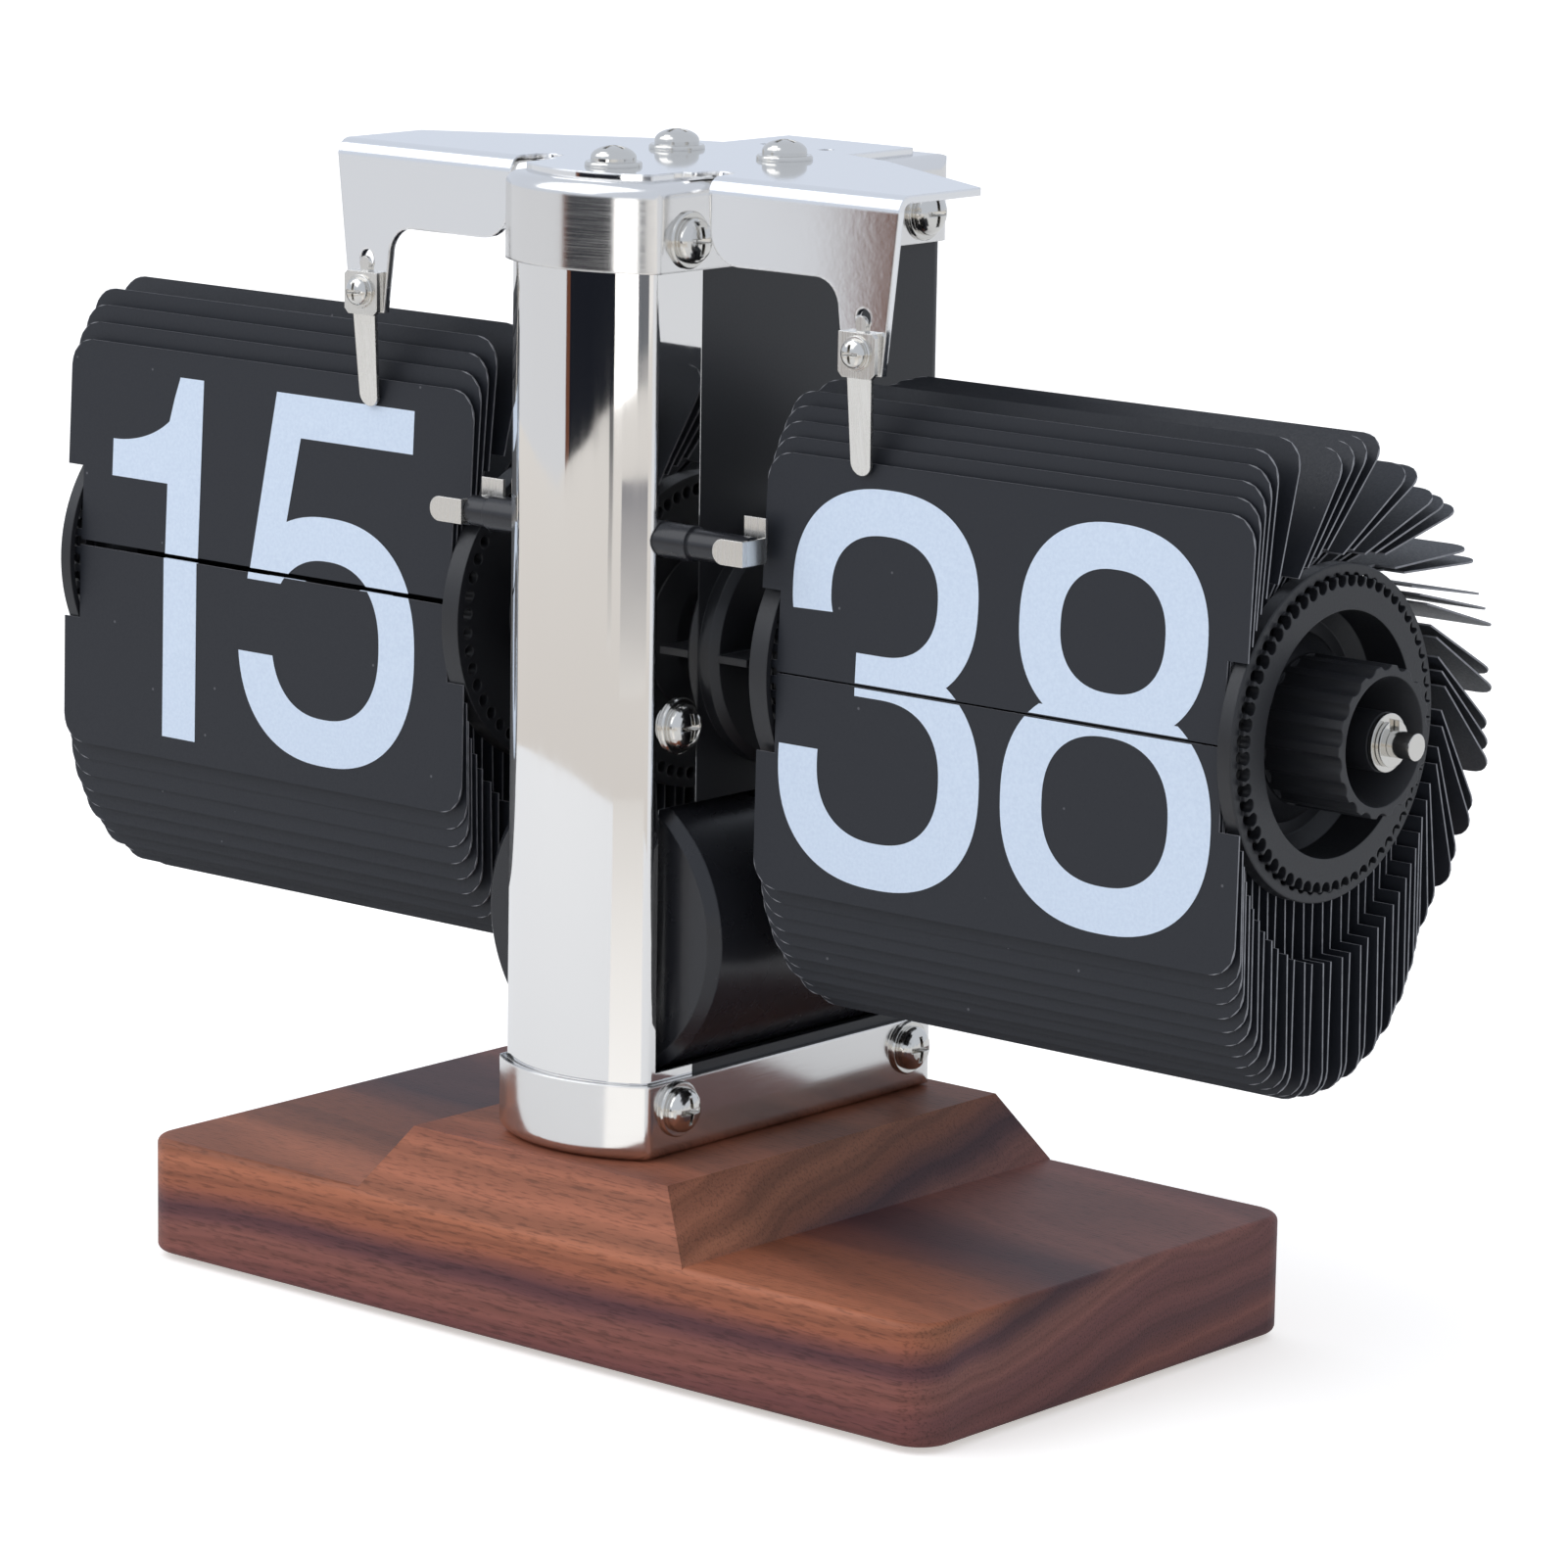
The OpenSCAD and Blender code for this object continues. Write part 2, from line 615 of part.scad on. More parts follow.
module motor() color("silver") difference() {
  union() {
    bar_x(1.6 - rear_inner, axle_y, motor_z, rear_inner - 1.6 - movement_t / 2, motor_r);
    bar_x(-movement_t / 2 - 1, axle_y, motor_z, 1, motor_r + 1);
  }
  bar_x(-movement_t / 2 - 4, axle_y, motor_z, 8, 1 + run_fit);
}

// Axle

module axle() color("silver") difference() {
  bar_x(-axle_end, axle_y, axle_z, 2 * axle_end, axle_d / 2);
  both_sides() difference() {
    bar_x(clip_x - 0.05, axle_y, axle_z, clip_t + 0.1, axle_d);
    bar_x(clip_x - 1, axle_y, axle_z, clip_t + 2, axle_d / 2 - 0.4);
  }
}

module axle_washers() color("silver") both_sides() difference() {
  bar_x(washer_x, axle_y, axle_z, washer_t, 4.3);
  bar_x(washer_x - 1, axle_y, axle_z, washer_t + 2, bore_r);
}

module axle_clips() color("silver") both_sides() difference() {
  bar_x(clip_x, axle_y, axle_z, clip_t, 3.5);
  bar_x(clip_x - 1, axle_y, axle_z, clip_t + 2, axle_d / 2 - 0.37);
  translate([clip_x - 1, axle_y - 1.2, axle_z]) cube([clip_t + 2, 2.4, 6]);
}

// Leaf stops

// Bar through the column, thicker where it passes the front cover.
module stop_bar() color("black") {
  bar_x(stop_left, stop_y, stop_z, stop_right - stop_left, stop_r);
  bar_x(9.6 - leaf_in, stop_y, stop_z, 2 * leaf_in - 19.2, stop_r + 0.4);
}

// Strip bent over the bar's end: a round tongue in front of the bar, a plate
// across the bar's end and a leg behind it that stands up as an ear.
module stop_clip(end, tongue_to, leg_to) {
  t = 0.5;
  h = 1.95;
  front = stop_y - stop_r - t;
  way = sign(tongue_to - end);
  translate([0, front + t, stop_z]) rotate([90, 0, 0]) linear_extrude(t) {
    translate([min(end, tongue_to - way * h), -h]) square([abs(tongue_to - way * h - end), 2 * h]);
    translate([tongue_to - way * h, 0]) circle(h, $fn = 48);
  }
  translate([end > 0 ? end - t : end, front, stop_z - h]) cube([t, 2 * stop_r + 2 * t, 2 * h]);
  translate([min(end, leg_to), stop_y + stop_r, stop_z - h]) cube([abs(end - leg_to), t, 2 * h + 3]);
}

module stop_clips() color("silver") {
  stop_clip(stop_right + 0.55, 26.6, 28.4);
  stop_clip(stop_left - 0.55, -31.6, -20.9);
}

// Battery

module barrel_turn(points) translate([0, 0, barrel_z]) rotate([-90, 0, 0])
  rotate_extrude() polygon(points);

module battery_barrel() color("black") difference() {
  barrel_turn([[0, -barrel_front], [barrel_r - 1.6, -barrel_front], [barrel_r, -barrel_front + 1.6],
    [barrel_r, barrel_step], [neck_r, barrel_step], [neck_r, barrel_end],
    [bore_cell, barrel_end], [bore_cell, cell_start - 0.5], [0, cell_start - 0.5]]);
  barrel_turn([[bore_cell + 1.6, cell_start + 1], [neck_r - 1.4, cell_start + 1],
    [neck_r - 1.4, barrel_end + 1], [bore_cell + 1.6, barrel_end + 1]]);
}

module battery_cradle() color("dimgray") difference() {
  translate([-11, -17, floor_top]) cube([22, 40, barrel_z - floor_top - barrel_r * cos(24)]);
  translate([0, -60, barrel_z]) rotate([-90, 0, 0]) cylinder(r = barrel_r + 0.1, h = 120, $fn = 180);
}

module battery_cell() color("steelblue") barrel_turn([[0, cell_start + 0.1],
  [cell_d / 2 - 0.6, cell_start + 0.1], [cell_d / 2, cell_start + 0.7], [cell_d / 2, cell_end - 1.8], [cell_d / 2 - 0.8, cell_end - 1],
  [4.6, cell_end - 1], [4.6, cell_end + 0.1], [0, cell_end + 0.1]]);

module battery_contacts() color("goldenrod")
  barrel_turn([[0, cell_start - 0.5], [9, cell_start - 0.5], [9, cell_start], [0, cell_start]]);

module battery_cap() color("black") difference() {
  barrel_turn([[0, cell_end + 0.4], [bore_cell - run_fit, cell_end + 0.4],
    [bore_cell - run_fit, barrel_end + 0.1], [neck_r - 0.2, barrel_end + 0.1],
    [neck_r - 0.2, barrel_end + 1.6], [neck_r - 1.2, barrel_end + 2.6], [0, barrel_end + 2.6]]);
  translate([-12, barrel_end + 1.2, barrel_z - 1]) cube([24, 5, 2]);
}

// Gear wheels

function involute(a) = tan(a) * 180 / PI - a;

// Half the angle of a tooth at radius r, for base radius rb and pitch radius rp.
function tooth_half(r, rb, rp, teeth) = 90 / teeth - backlash / rp * 180 / PI
  + involute(20) - involute(acos(min(1, rb / r)));

function gear_points(m, teeth, first) = let(
    rp = m * teeth / 2, rb = rp * cos(20), rf = rp - m, ra = rp + 0.68 * m,
    radii = [rf, max(rb, rf + 0.02), rp, ra])
  [for (i = [0:teeth - 1]) for (j = [0:7])
    let(r = j < 4 ? radii[j] : radii[7 - j], side = j < 4 ? -1 : 1,
      a = first + 360 * i / teeth + side * tooth_half(r, rb, rp, teeth))
    [r * cos(a), r * sin(a)]];

// A wheel along X; first is the angle of one tooth, 0 along +Y and 90 upward.
module gear(x, z, m, teeth, first, bore) translate([x, axle_y, z]) rotate([90, 0, 90])
  difference() {
    linear_extrude(gear_w) polygon(gear_points(m, teeth, first));
    translate([0, 0, -1]) cylinder(r = bore, h = gear_w + 2, $fn = 48);
  }

module minute_pinion() color("goldenrod")
  gear(gear_x, axle_z, minute_module, pinion_teeth, 90, bore_r);

module carry_wheel() color("goldenrod")
  gear(gear_x, carry_z, minute_module, carry_teeth, -90 + 180 / carry_teeth, arbor_r + 0.02);

module carry_pinion() color("goldenrod")
  gear(-gear_x - gear_w, carry_z, hour_module, carry_pinion_teeth, -90, arbor_r + 0.02);

module carry_arbor() color("silver") bar_x(-gear_x - gear_w - 1.2, axle_y, carry_z,
  2 * (gear_x + gear_w + 1.2), arbor_r);

module hour_wheel() color("goldenrod") difference() {
  gear(-gear_x - gear_w, axle_z, hour_module, hour_teeth, 90 + 180 / hour_teeth, bore_r);
  for (a = [0:60:300]) translate([0, axle_y, axle_z]) rotate([a, 0, 0])
    bar_x(-gear_x - gear_w - 1, 0, 11.5, gear_w + 2, 3.6);
}

module motor_pinion() color("goldenrod") {
  gear(gear_x, motor_z, minute_module, pinion_teeth, -90, 0.9);
  bar_x(-movement_t / 2 - 3.8, axle_y, motor_z, movement_t / 2 + 3.8 + gear_x + gear_w + 0.6, 1);
}

// Drums

// Hub tube from the gear to the outer disc, with a collar behind the inner disc.
module drum_hub() difference() {
  union() {
    bar_x(hub_start, axle_y, axle_z, web_face - hub_start, hub_r);
    on_axle(disc_in - 2.4) cylinder(r1 = 9, r2 = 13, h = 2.4);
  }
  bar_x(0, axle_y, axle_z, web_face + 1, bore_r);
}

// Ring of pin holes that open into the guide groove; z = 0 is the plain face.
module pin_ring_cut(count, first) {
  translate([0, 0, disc_t - race_depth]) difference() {
    cylinder(r = race_out, h = race_depth + 1);
    translate([0, 0, -1]) cylinder(r = race_in, h = race_depth + 3);
  }
  for (i = [0:count - 1]) rotate(first + 360 * i / count)
    translate([pin_r, 0, -1]) cylinder(d = hole_d, h = disc_t - race_depth + 1.2, $fn = 16);
}

module inner_disc(count, first) on_axle(disc_in) difference() {
  cylinder(r = disc_r, h = disc_t);
  pin_ring_cut(count, first);
  translate([0, 0, -1]) cylinder(r = hub_r + 0.02, h = disc_t + 2);
}

// Rim with the pin holes, which break the edge of its raised front ring, and a
// dished middle that carries it on the hub.
module outer_disc(count, first) translate([disc_out, axle_y, axle_z]) rotate([0, -90, 0])
  difference() {
    rotate_extrude() polygon([[hub_r + 0.02, dish_depth], [hub_r + 0.02, dish_depth + 1.6],
      [dish_r - 1.8, dish_depth + 1.6], [dish_r + 1.2, dish_depth - 1.4], [dish_r + 1.2, disc_t],
      [disc_r, disc_t], [disc_r, 1.2], [disc_r - 0.2, 1], [pin_r + 0.6, 1], [pin_r + 0.6, 0.2],
      [pin_r + 0.4, 0], [dish_r, 0], [dish_r, dish_depth - 2],
      [dish_r - 2, dish_depth]]);
    pin_ring_cut(count, first);
  }

minute_first = 5;
hour_first = 11.2;

module minute_hub() color("black") drum_hub();
module minute_inner_disc() color("black") inner_disc(minute_leaves, minute_first);
module minute_outer_disc() color("black") outer_disc(minute_leaves, minute_first);
module hour_hub() color("black") mirror([1, 0, 0]) drum_hub();
module hour_inner_disc() color("black") mirror([1, 0, 0]) inner_disc(hour_leaves, hour_first);
module hour_outer_disc() color("black") mirror([1, 0, 0]) outer_disc(hour_leaves, hour_first);

// Lobed knob with a hollow end and a boss that bears on the washer.
module minute_knob() color("black") on_axle(web_face) difference() {
  len = knob_end - web_face;
  union() {
    difference() {
      union() {
        cylinder(r = knob_r, h = len);
        cylinder(r1 = knob_r + 3, r2 = knob_r - 0.5, h = 3.5);
      }
      translate([0, 0, len - 9]) cylinder(r1 = knob_r - 5.4, r2 = knob_r - 1.6, h = 9.01);
      for (i = [0:knob_lobes - 1]) rotate(i * 360 / knob_lobes)
        translate([knob_r + 0.9, 0, 3.5]) cylinder(r = 1.6, h = len, $fn = 24);
    }
    cylinder(r = 4.4, h = len);
  }
  translate([0, 0, -1]) cylinder(r = bore_r, h = len + 2);
}

module hour_collar() color("black") mirror([1, 0, 0]) on_axle(web_face) difference() {
  len = knob_end - web_face;
  union() {
    cylinder(r = 4.4, h = len);
    cylinder(r1 = 9, r2 = 7, h = 3);
  }
  translate([0, 0, -1]) cylinder(r = bore_r, h = len + 2);
}

// Leaves

// Outline of a leaf: the pin is at y = 0 and the free edge at y = leaf_len.
leaf_shape = let(a = notch_w, e = a - ear_len, w = leaf_w, h = ear_w / 2, r = leaf_corner_r)
  concat([[a, -leaf_tail], [w - a, -leaf_tail], [w - a, -h], [w - e, -h], [w - e, h], [w - a, h],
    [w - a, notch_len], [w, notch_len]],
    arc(w - r, leaf_len - r, r, 0, 90, 6), arc(r, leaf_len - r, r, 90, 180, 6),
    [[0, notch_len], [a, notch_len], [a, h], [e, h], [e, -h], [a, -h]]);

// One leaf whose pin is at angle phi on the drum and which points along psi;
// 0 is to the front, 90 up and 180 to the back.
module leaf(phi, psi, lift) translate([leaf_in, axle_y - (pin_r + lift) * cos(phi),
  axle_z + (pin_r + lift) * sin(phi)]) rotate([180 - psi, 0, 0])
  translate([0, 0, -leaf_t / 2]) linear_extrude(leaf_t) polygon(leaf_shape);

// First leaf of each clump in the fan, counted from the front one upward.
minute_clumps = [6, 10, 12, 15, 17, 20, 22, 25, 27, 29, 31];
hour_clumps = [5, 8, 10, 12, 14, 16, 18, 20, 22, 24];

// Start of the clump that leaf k belongs to.
function clump(k, starts) = max([for (s = starts) if (s <= k) s]);

// Leaves of a clump follow its first one more closely than their pins do.
function fan_angle(k, first, step, starts) =
  first + step * clump(k, starts) + 83.4 + 3.2 * (k - clump(k, starts));

// Hanging leaves lean together in pairs where the drum leaves them room.
function hang_angle(k, phi) = flap_hang - 2 + 1.2 * pow(sin(phi), 2) * (k % 2 == 0 ? 1 : -1);

module upper_leaves(count, first, starts) for (k = [0:starts[0] - 1])
  leaf(first + 360 / count * k, k == starts[0] - 1 ? last_lean : upright_lean + k,
    k == 0 ? front_lift : 0);

module fan_leaves(count, first, starts)
  for (k = [starts[0]:starts[len(starts) - 1] - 1])
    leaf(first + 360 / count * k, fan_angle(k, first, 360 / count, starts), 0);

module lower_leaves(count, first, starts)
  for (k = [starts[len(starts) - 1]:count - 2])
    leaf(first + 360 / count * k, hang_angle(k, first + 360 / count * k), 0);

module minute_upper_leaves() color("dimgray") upper_leaves(minute_leaves, minute_first, minute_clumps);
module minute_fan_leaves() color("dimgray") fan_leaves(minute_leaves, minute_first, minute_clumps);
module minute_lower_leaves() color("dimgray") lower_leaves(minute_leaves, minute_first, minute_clumps);
module minute_flap() color("dimgray") leaf(minute_first - 360 / minute_leaves, flap_hang, front_lift);
module hour_upper_leaves() color("dimgray") mirror([1, 0, 0])
  upper_leaves(hour_leaves, hour_first, hour_clumps);
module hour_fan_leaves() color("dimgray") mirror([1, 0, 0])
  fan_leaves(hour_leaves, hour_first, hour_clumps);
module hour_lower_leaves() color("dimgray") mirror([1, 0, 0])
  lower_leaves(hour_leaves, hour_first, hour_clumps);
module hour_flap() color("dimgray") mirror([1, 0, 0])
  leaf(hour_first - 360 / hour_leaves, flap_hang, front_lift);

wooden_base();
foot_pads();
base_screws();
base_nuts();
bottom_cap();
front_cover();
rear_cover();
top_cap();
arm_plate();
hour_finger();
minute_finger();
finger_screws();
top_screws();
cap_screws();
movement_screws();
movement_frame();
axle();
axle_washers();
axle_clips();
stop_bar();
stop_clips();
battery_barrel();
battery_cradle();
battery_cell();
battery_contacts();
battery_cap();
motor();
motor_pinion();
carry_arbor();
carry_wheel();
carry_pinion();
minute_pinion();
minute_hub();
minute_inner_disc();
minute_outer_disc();
minute_knob();
hour_wheel();
hour_hub();
hour_inner_disc();
hour_outer_disc();
hour_collar();
minute_upper_leaves();
minute_fan_leaves();
minute_lower_leaves();
minute_flap();
hour_upper_leaves();
hour_fan_leaves();
hour_lower_leaves();
hour_flap();
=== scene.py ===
"""A desk flip clock showing 15:38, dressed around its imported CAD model, in the photograph's light and from
its angle. The sections follow the clock as it is put together, from the wooden base up to the numerals, and
then the room."""

import bmesh
import bpy
import numpy as np
from mathutils import Matrix, Vector


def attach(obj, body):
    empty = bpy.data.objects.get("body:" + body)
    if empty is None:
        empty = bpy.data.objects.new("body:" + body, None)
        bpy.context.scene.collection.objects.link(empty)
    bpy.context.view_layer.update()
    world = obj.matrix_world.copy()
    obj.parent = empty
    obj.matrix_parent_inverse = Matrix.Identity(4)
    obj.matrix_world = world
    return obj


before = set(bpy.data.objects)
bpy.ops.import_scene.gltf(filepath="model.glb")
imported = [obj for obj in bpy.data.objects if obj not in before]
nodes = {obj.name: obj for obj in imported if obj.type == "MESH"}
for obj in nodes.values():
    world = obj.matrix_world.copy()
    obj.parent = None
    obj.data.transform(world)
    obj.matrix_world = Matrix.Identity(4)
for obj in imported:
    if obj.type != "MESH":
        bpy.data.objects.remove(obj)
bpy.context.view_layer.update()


# The base is one piece of oiled walnut, a plinth with a raised block, planed and sanded with eased edges.
# The growth rings climb to the back and a little to the right, so one dark band crosses the front and comes
# out at the rear of the top. The ends are cut across the fibres and drink more oil, so they are darker.
def finish(name):
    """A new node material: gives the material, its node tree and its Principled shader."""
    made = bpy.data.materials.new(name)
    made.use_nodes = True
    return made, made.node_tree, made.node_tree.nodes["Principled BSDF"]


def put(tree, kind, inputs, **settings):
    """Adds one shader node. Each input takes a plain value or the output of another node."""
    made = tree.nodes.new("ShaderNode" + kind)
    for key, value in settings.items():
        setattr(made, key, value)
    for key, value in inputs.items():
        if isinstance(value, bpy.types.NodeSocket):
            tree.links.new(value, made.inputs[key])
        else:
            made.inputs[key].default_value = value
    return made


walnut, tree, shader = finish("walnut")
place = put(tree, "TexCoord", {}).outputs["Object"]
ring_normal = (-0.034, -0.18, 0.98)
across_rings = put(tree, "VectorMath", {0: place, 1: ring_normal},
                   operation="DOT_PRODUCT").outputs["Value"]
long_waves = put(tree, "Mapping", {"Vector": place, "Scale": (6.0, 24.0, 24.0)}).outputs["Vector"]
sway = put(tree, "TexNoise", {"Vector": long_waves, "Scale": 1.0, "Detail": 3.0}).outputs["Fac"]
sway_mm = 11.0
swayed = put(tree, "Math", {0: sway, 1: sway_mm / 1000, 2: across_rings},
             operation="MULTIPLY_ADD").outputs["Value"]
first_ring_mm = -12.0
rings_mm = 56.0
ramp_start = (first_ring_mm + sway_mm / 2) / 1000
ring = put(tree, "MapRange", {"Value": swayed, "From Min": ramp_start,
                              "From Max": ramp_start + rings_mm / 1000}).outputs["Result"]
bands = put(tree, "ValToRGB", {"Fac": ring})
bands.color_ramp.elements[0].color = (0.17, 0.058, 0.050, 1)
bands.color_ramp.elements[1].color = (0.36, 0.120, 0.065, 1)
for ring_mm, colour in (
    (-6.0, (0.120, 0.043, 0.043, 1)),
    (-2.0, (0.220, 0.072, 0.055, 1)),
    (2.0, (0.130, 0.046, 0.045, 1)),
    (6.0, (0.190, 0.063, 0.054, 1)),
    (10.0, (0.165, 0.055, 0.050, 1)),
    (13.6, (0.225, 0.078, 0.060, 1)),
    (16.2, (0.240, 0.086, 0.068, 1)),
    (17.8, (0.130, 0.046, 0.047, 1)),
    (19.3, (0.105, 0.037, 0.042, 1)),
    (21.2, (0.220, 0.071, 0.051, 1)),
    (23.0, (0.340, 0.108, 0.057, 1)),
    (27.0, (0.375, 0.130, 0.068, 1)),
    (31.5, (0.350, 0.120, 0.066, 1)),
    (35.0, (0.365, 0.125, 0.068, 1)),
    (38.0, (0.280, 0.092, 0.055, 1)),
):
    bands.color_ramp.elements.new((ring_mm - first_ring_mm) / rings_mm).color = colour
lines = put(tree, "TexNoise", {"W": swayed, "Scale": 420.0, "Detail": 3.0},
            noise_dimensions="1D").outputs["Fac"]
line_shade = put(tree, "MapRange", {"Value": lines, "From Min": 0.3, "From Max": 0.7, "To Min": 0.78,
                                    "To Max": 1.18}).outputs["Result"]
fibre = put(tree, "Mapping", {"Vector": place, "Scale": (330.0, 3000.0, 3000.0)}).outputs["Vector"]
pores = put(tree, "TexNoise", {"Vector": fibre, "Scale": 1.0, "Detail": 2.0}).outputs["Fac"]
pore_shade = put(tree, "MapRange", {"Value": pores, "From Min": 0.32, "From Max": 0.50, "To Min": 0.66,
                                    "To Max": 1.04}).outputs["Result"]
facing = put(tree, "NewGeometry", {}).outputs["Normal"]
end_on = put(tree, "VectorMath", {0: facing, 1: (1.0, 0.0, 0.0)},
             operation="DOT_PRODUCT").outputs["Value"]
across = put(tree, "Math", {0: end_on}, operation="ABSOLUTE").outputs["Value"]
end_grain = put(tree, "MapRange", {"Value": across, "From Min": 0.4, "From Max": 0.9}).outputs["Result"]
end_tint = put(tree, "Mix", {"Factor": end_grain, "A": (1.0, 1.0, 1.0, 1), "B": (0.86, 0.98, 1.02, 1)},
               data_type="RGBA").outputs["Result"]
# Behind the front face the wood is made darker in the rings past 14 mm, most between 18 and 27 mm, down to
# 0.64 of its tone.
rearward = put(tree, "SeparateXYZ", {"Vector": place}).outputs["Y"]
inside = put(tree, "MapRange", {"Value": rearward, "From Min": -0.036, "From Max": -0.022},
             interpolation_type="SMOOTHSTEP").outputs["Result"]
rear_dark_bands = put(tree, "ValToRGB", {"Fac": ring})
rear_dark_bands.color_ramp.elements[0].color = (0, 0, 0, 1)
rear_dark_bands.color_ramp.elements[1].color = (0.5, 0.5, 0.5, 1)
for ring_mm, dark in ((14.0, 0.0), (18.0, 0.9), (26.5, 1.0), (31.0, 0.5)):
    rear_dark_bands.color_ramp.elements.new((ring_mm - first_ring_mm) / rings_mm).color = (dark, dark, dark, 1)
rear_dark_here = put(tree, "Math", {0: rear_dark_bands.outputs["Color"], 1: inside},
                 operation="MULTIPLY").outputs["Value"]
rear_darkening = put(tree, "MapRange", {"Value": rear_dark_here, "To Min": 1.0,
                                     "To Max": 0.64}).outputs["Result"]
shade = put(tree, "Math", {0: line_shade, 1: pore_shade}, operation="MULTIPLY").outputs["Value"]
shade = put(tree, "Math", {0: shade, 1: rear_darkening}, operation="MULTIPLY").outputs["Value"]
tinted = put(tree, "VectorMath", {0: bands.outputs["Color"], 1: end_tint},
             operation="MULTIPLY").outputs["Vector"]
oiled = put(tree, "VectorMath", {0: tinted, "Scale": shade}, operation="SCALE").outputs["Vector"]
tree.links.new(oiled, shader.inputs["Base Color"])
open_grain = put(tree, "Bump", {"Height": pore_shade, "Strength": 0.25,
                                "Distance": 0.0002}).outputs["Normal"]
tree.links.new(open_grain, shader.inputs["Normal"])
shader.inputs["Roughness"].default_value = 0.52
shader.inputs["Specular IOR Level"].default_value = 0.28
nodes["wooden_base"].data.materials[0] = walnut


# The pads are punched discs of soft black rubber, glued into shallow recesses under the corners of the
# wood. The clock stands on them, clear of the table.
rubber, tree, shader = finish("rubber")
place = put(tree, "TexCoord", {}).outputs["Object"]
specks = put(tree, "TexNoise", {"Vector": place, "Scale": 2500.0, "Detail": 2.0}).outputs["Fac"]
dull = put(tree, "MapRange", {"Value": specks, "To Min": 0.7, "To Max": 0.95}).outputs["Result"]
tree.links.new(dull, shader.inputs["Roughness"])
shader.inputs["Base Color"].default_value = (0.02, 0.02, 0.02, 1)
nodes["foot_pads"].data.materials[0] = rubber


# The front cover of the column is a sheet of steel, bent round the front and polished to a mirror.
# Fine upright polishing marks blur what it mirrors a little, more in some streaks than in others.
mirror_steel, tree, shader = finish("mirror_steel")
place = put(tree, "TexCoord", {}).outputs["Object"]
upright = put(tree, "Mapping", {"Vector": place, "Scale": (700.0, 700.0, 16.0)}).outputs["Vector"]
marks = put(tree, "TexNoise", {"Vector": upright, "Scale": 1.0, "Detail": 3.0}).outputs["Fac"]
blur = put(tree, "MapRange", {"Value": marks, "From Min": 0.35, "From Max": 0.7, "To Min": 0.03,
                              "To Max": 0.05}).outputs["Result"]
tree.links.new(blur, shader.inputs["Roughness"])
ease = put(tree, "Bevel", {"Radius": 0.0003}, samples=4).outputs["Normal"]
waves = put(tree, "TexNoise", {"Vector": place, "Scale": 60.0, "Detail": 1.0}).outputs["Fac"]
wavy = put(tree, "Bump", {"Height": waves, "Strength": 0.06, "Distance": 0.0006,
                          "Normal": ease}).outputs["Normal"]
tree.links.new(wavy, shader.inputs["Normal"])
shader.inputs["Base Color"].default_value = (0.84, 0.825, 0.805, 1)
shader.inputs["Metallic"].default_value = 1.0
nodes["front_cover"].data.materials[0] = mirror_steel


# The two caps are pressed steel with rolled edges, brushed finely round the column before plating, so they
# mirror the room more softly than the cover does. The lower one is pressed with a slight draft, which turns
# its sides towards the wood.
for name, draft in (("bottom_cap", 0.07), ("top_cap", 0.0)):
    cap_steel, tree, shader = finish(f"{name}_steel")
    place = put(tree, "TexCoord", {}).outputs["Object"]
    level = put(tree, "Mapping", {"Vector": place, "Scale": (120.0, 120.0, 6000.0)}).outputs["Vector"]
    brushing = put(tree, "TexNoise", {"Vector": level, "Scale": 1.0, "Detail": 3.0}).outputs["Fac"]
    blur = put(tree, "MapRange", {"Value": brushing, "From Min": 0.3, "From Max": 0.7, "To Min": 0.115,
                                  "To Max": 0.175}).outputs["Result"]
    tree.links.new(blur, shader.inputs["Roughness"])
    ease = put(tree, "Bevel", {"Radius": 0.0005}, samples=4).outputs["Normal"]
    height = put(tree, "SeparateXYZ", {"Vector": place}).outputs["Z"]
    lean = put(tree, "Bump", {"Height": height, "Distance": draft, "Normal": ease}).outputs["Normal"]
    tree.links.new(lean, shader.inputs["Normal"])
    shader.inputs["Base Color"].default_value = (0.80, 0.785, 0.765, 1)
    shader.inputs["Metallic"].default_value = 1.0
    nodes[name].data.materials[0] = cap_steel


# The arm plate is one pressed sheet of nickel-plated steel, bent down along the front of each arm.
# The plating follows the rolled sheet and leaves a fine orange peel, which breaks up what it mirrors.
plated, tree, shader = finish("nickel_plate")
place = put(tree, "TexCoord", {}).outputs["Object"]
peel = put(tree, "TexNoise", {"Vector": place, "Scale": 900.0, "Detail": 1.0}).outputs["Fac"]
patches = put(tree, "TexNoise", {"Vector": place, "Scale": 45.0, "Detail": 3.0}).outputs["Fac"]
blur = put(tree, "MapRange", {"Value": patches, "From Min": 0.3, "From Max": 0.7, "To Min": 0.06,
                              "To Max": 0.09}).outputs["Result"]
tree.links.new(blur, shader.inputs["Roughness"])
ease = put(tree, "Bevel", {"Radius": 0.0005}, samples=4).outputs["Normal"]
skin = put(tree, "Bump", {"Height": peel, "Strength": 0.01, "Distance": 0.0002,
                          "Normal": ease}).outputs["Normal"]
tree.links.new(skin, shader.inputs["Normal"])
shader.inputs["Base Color"].default_value = (0.86, 0.86, 0.86, 1)
shader.inputs["Metallic"].default_value = 1.0
nodes["arm_plate"].data.materials[0] = plated


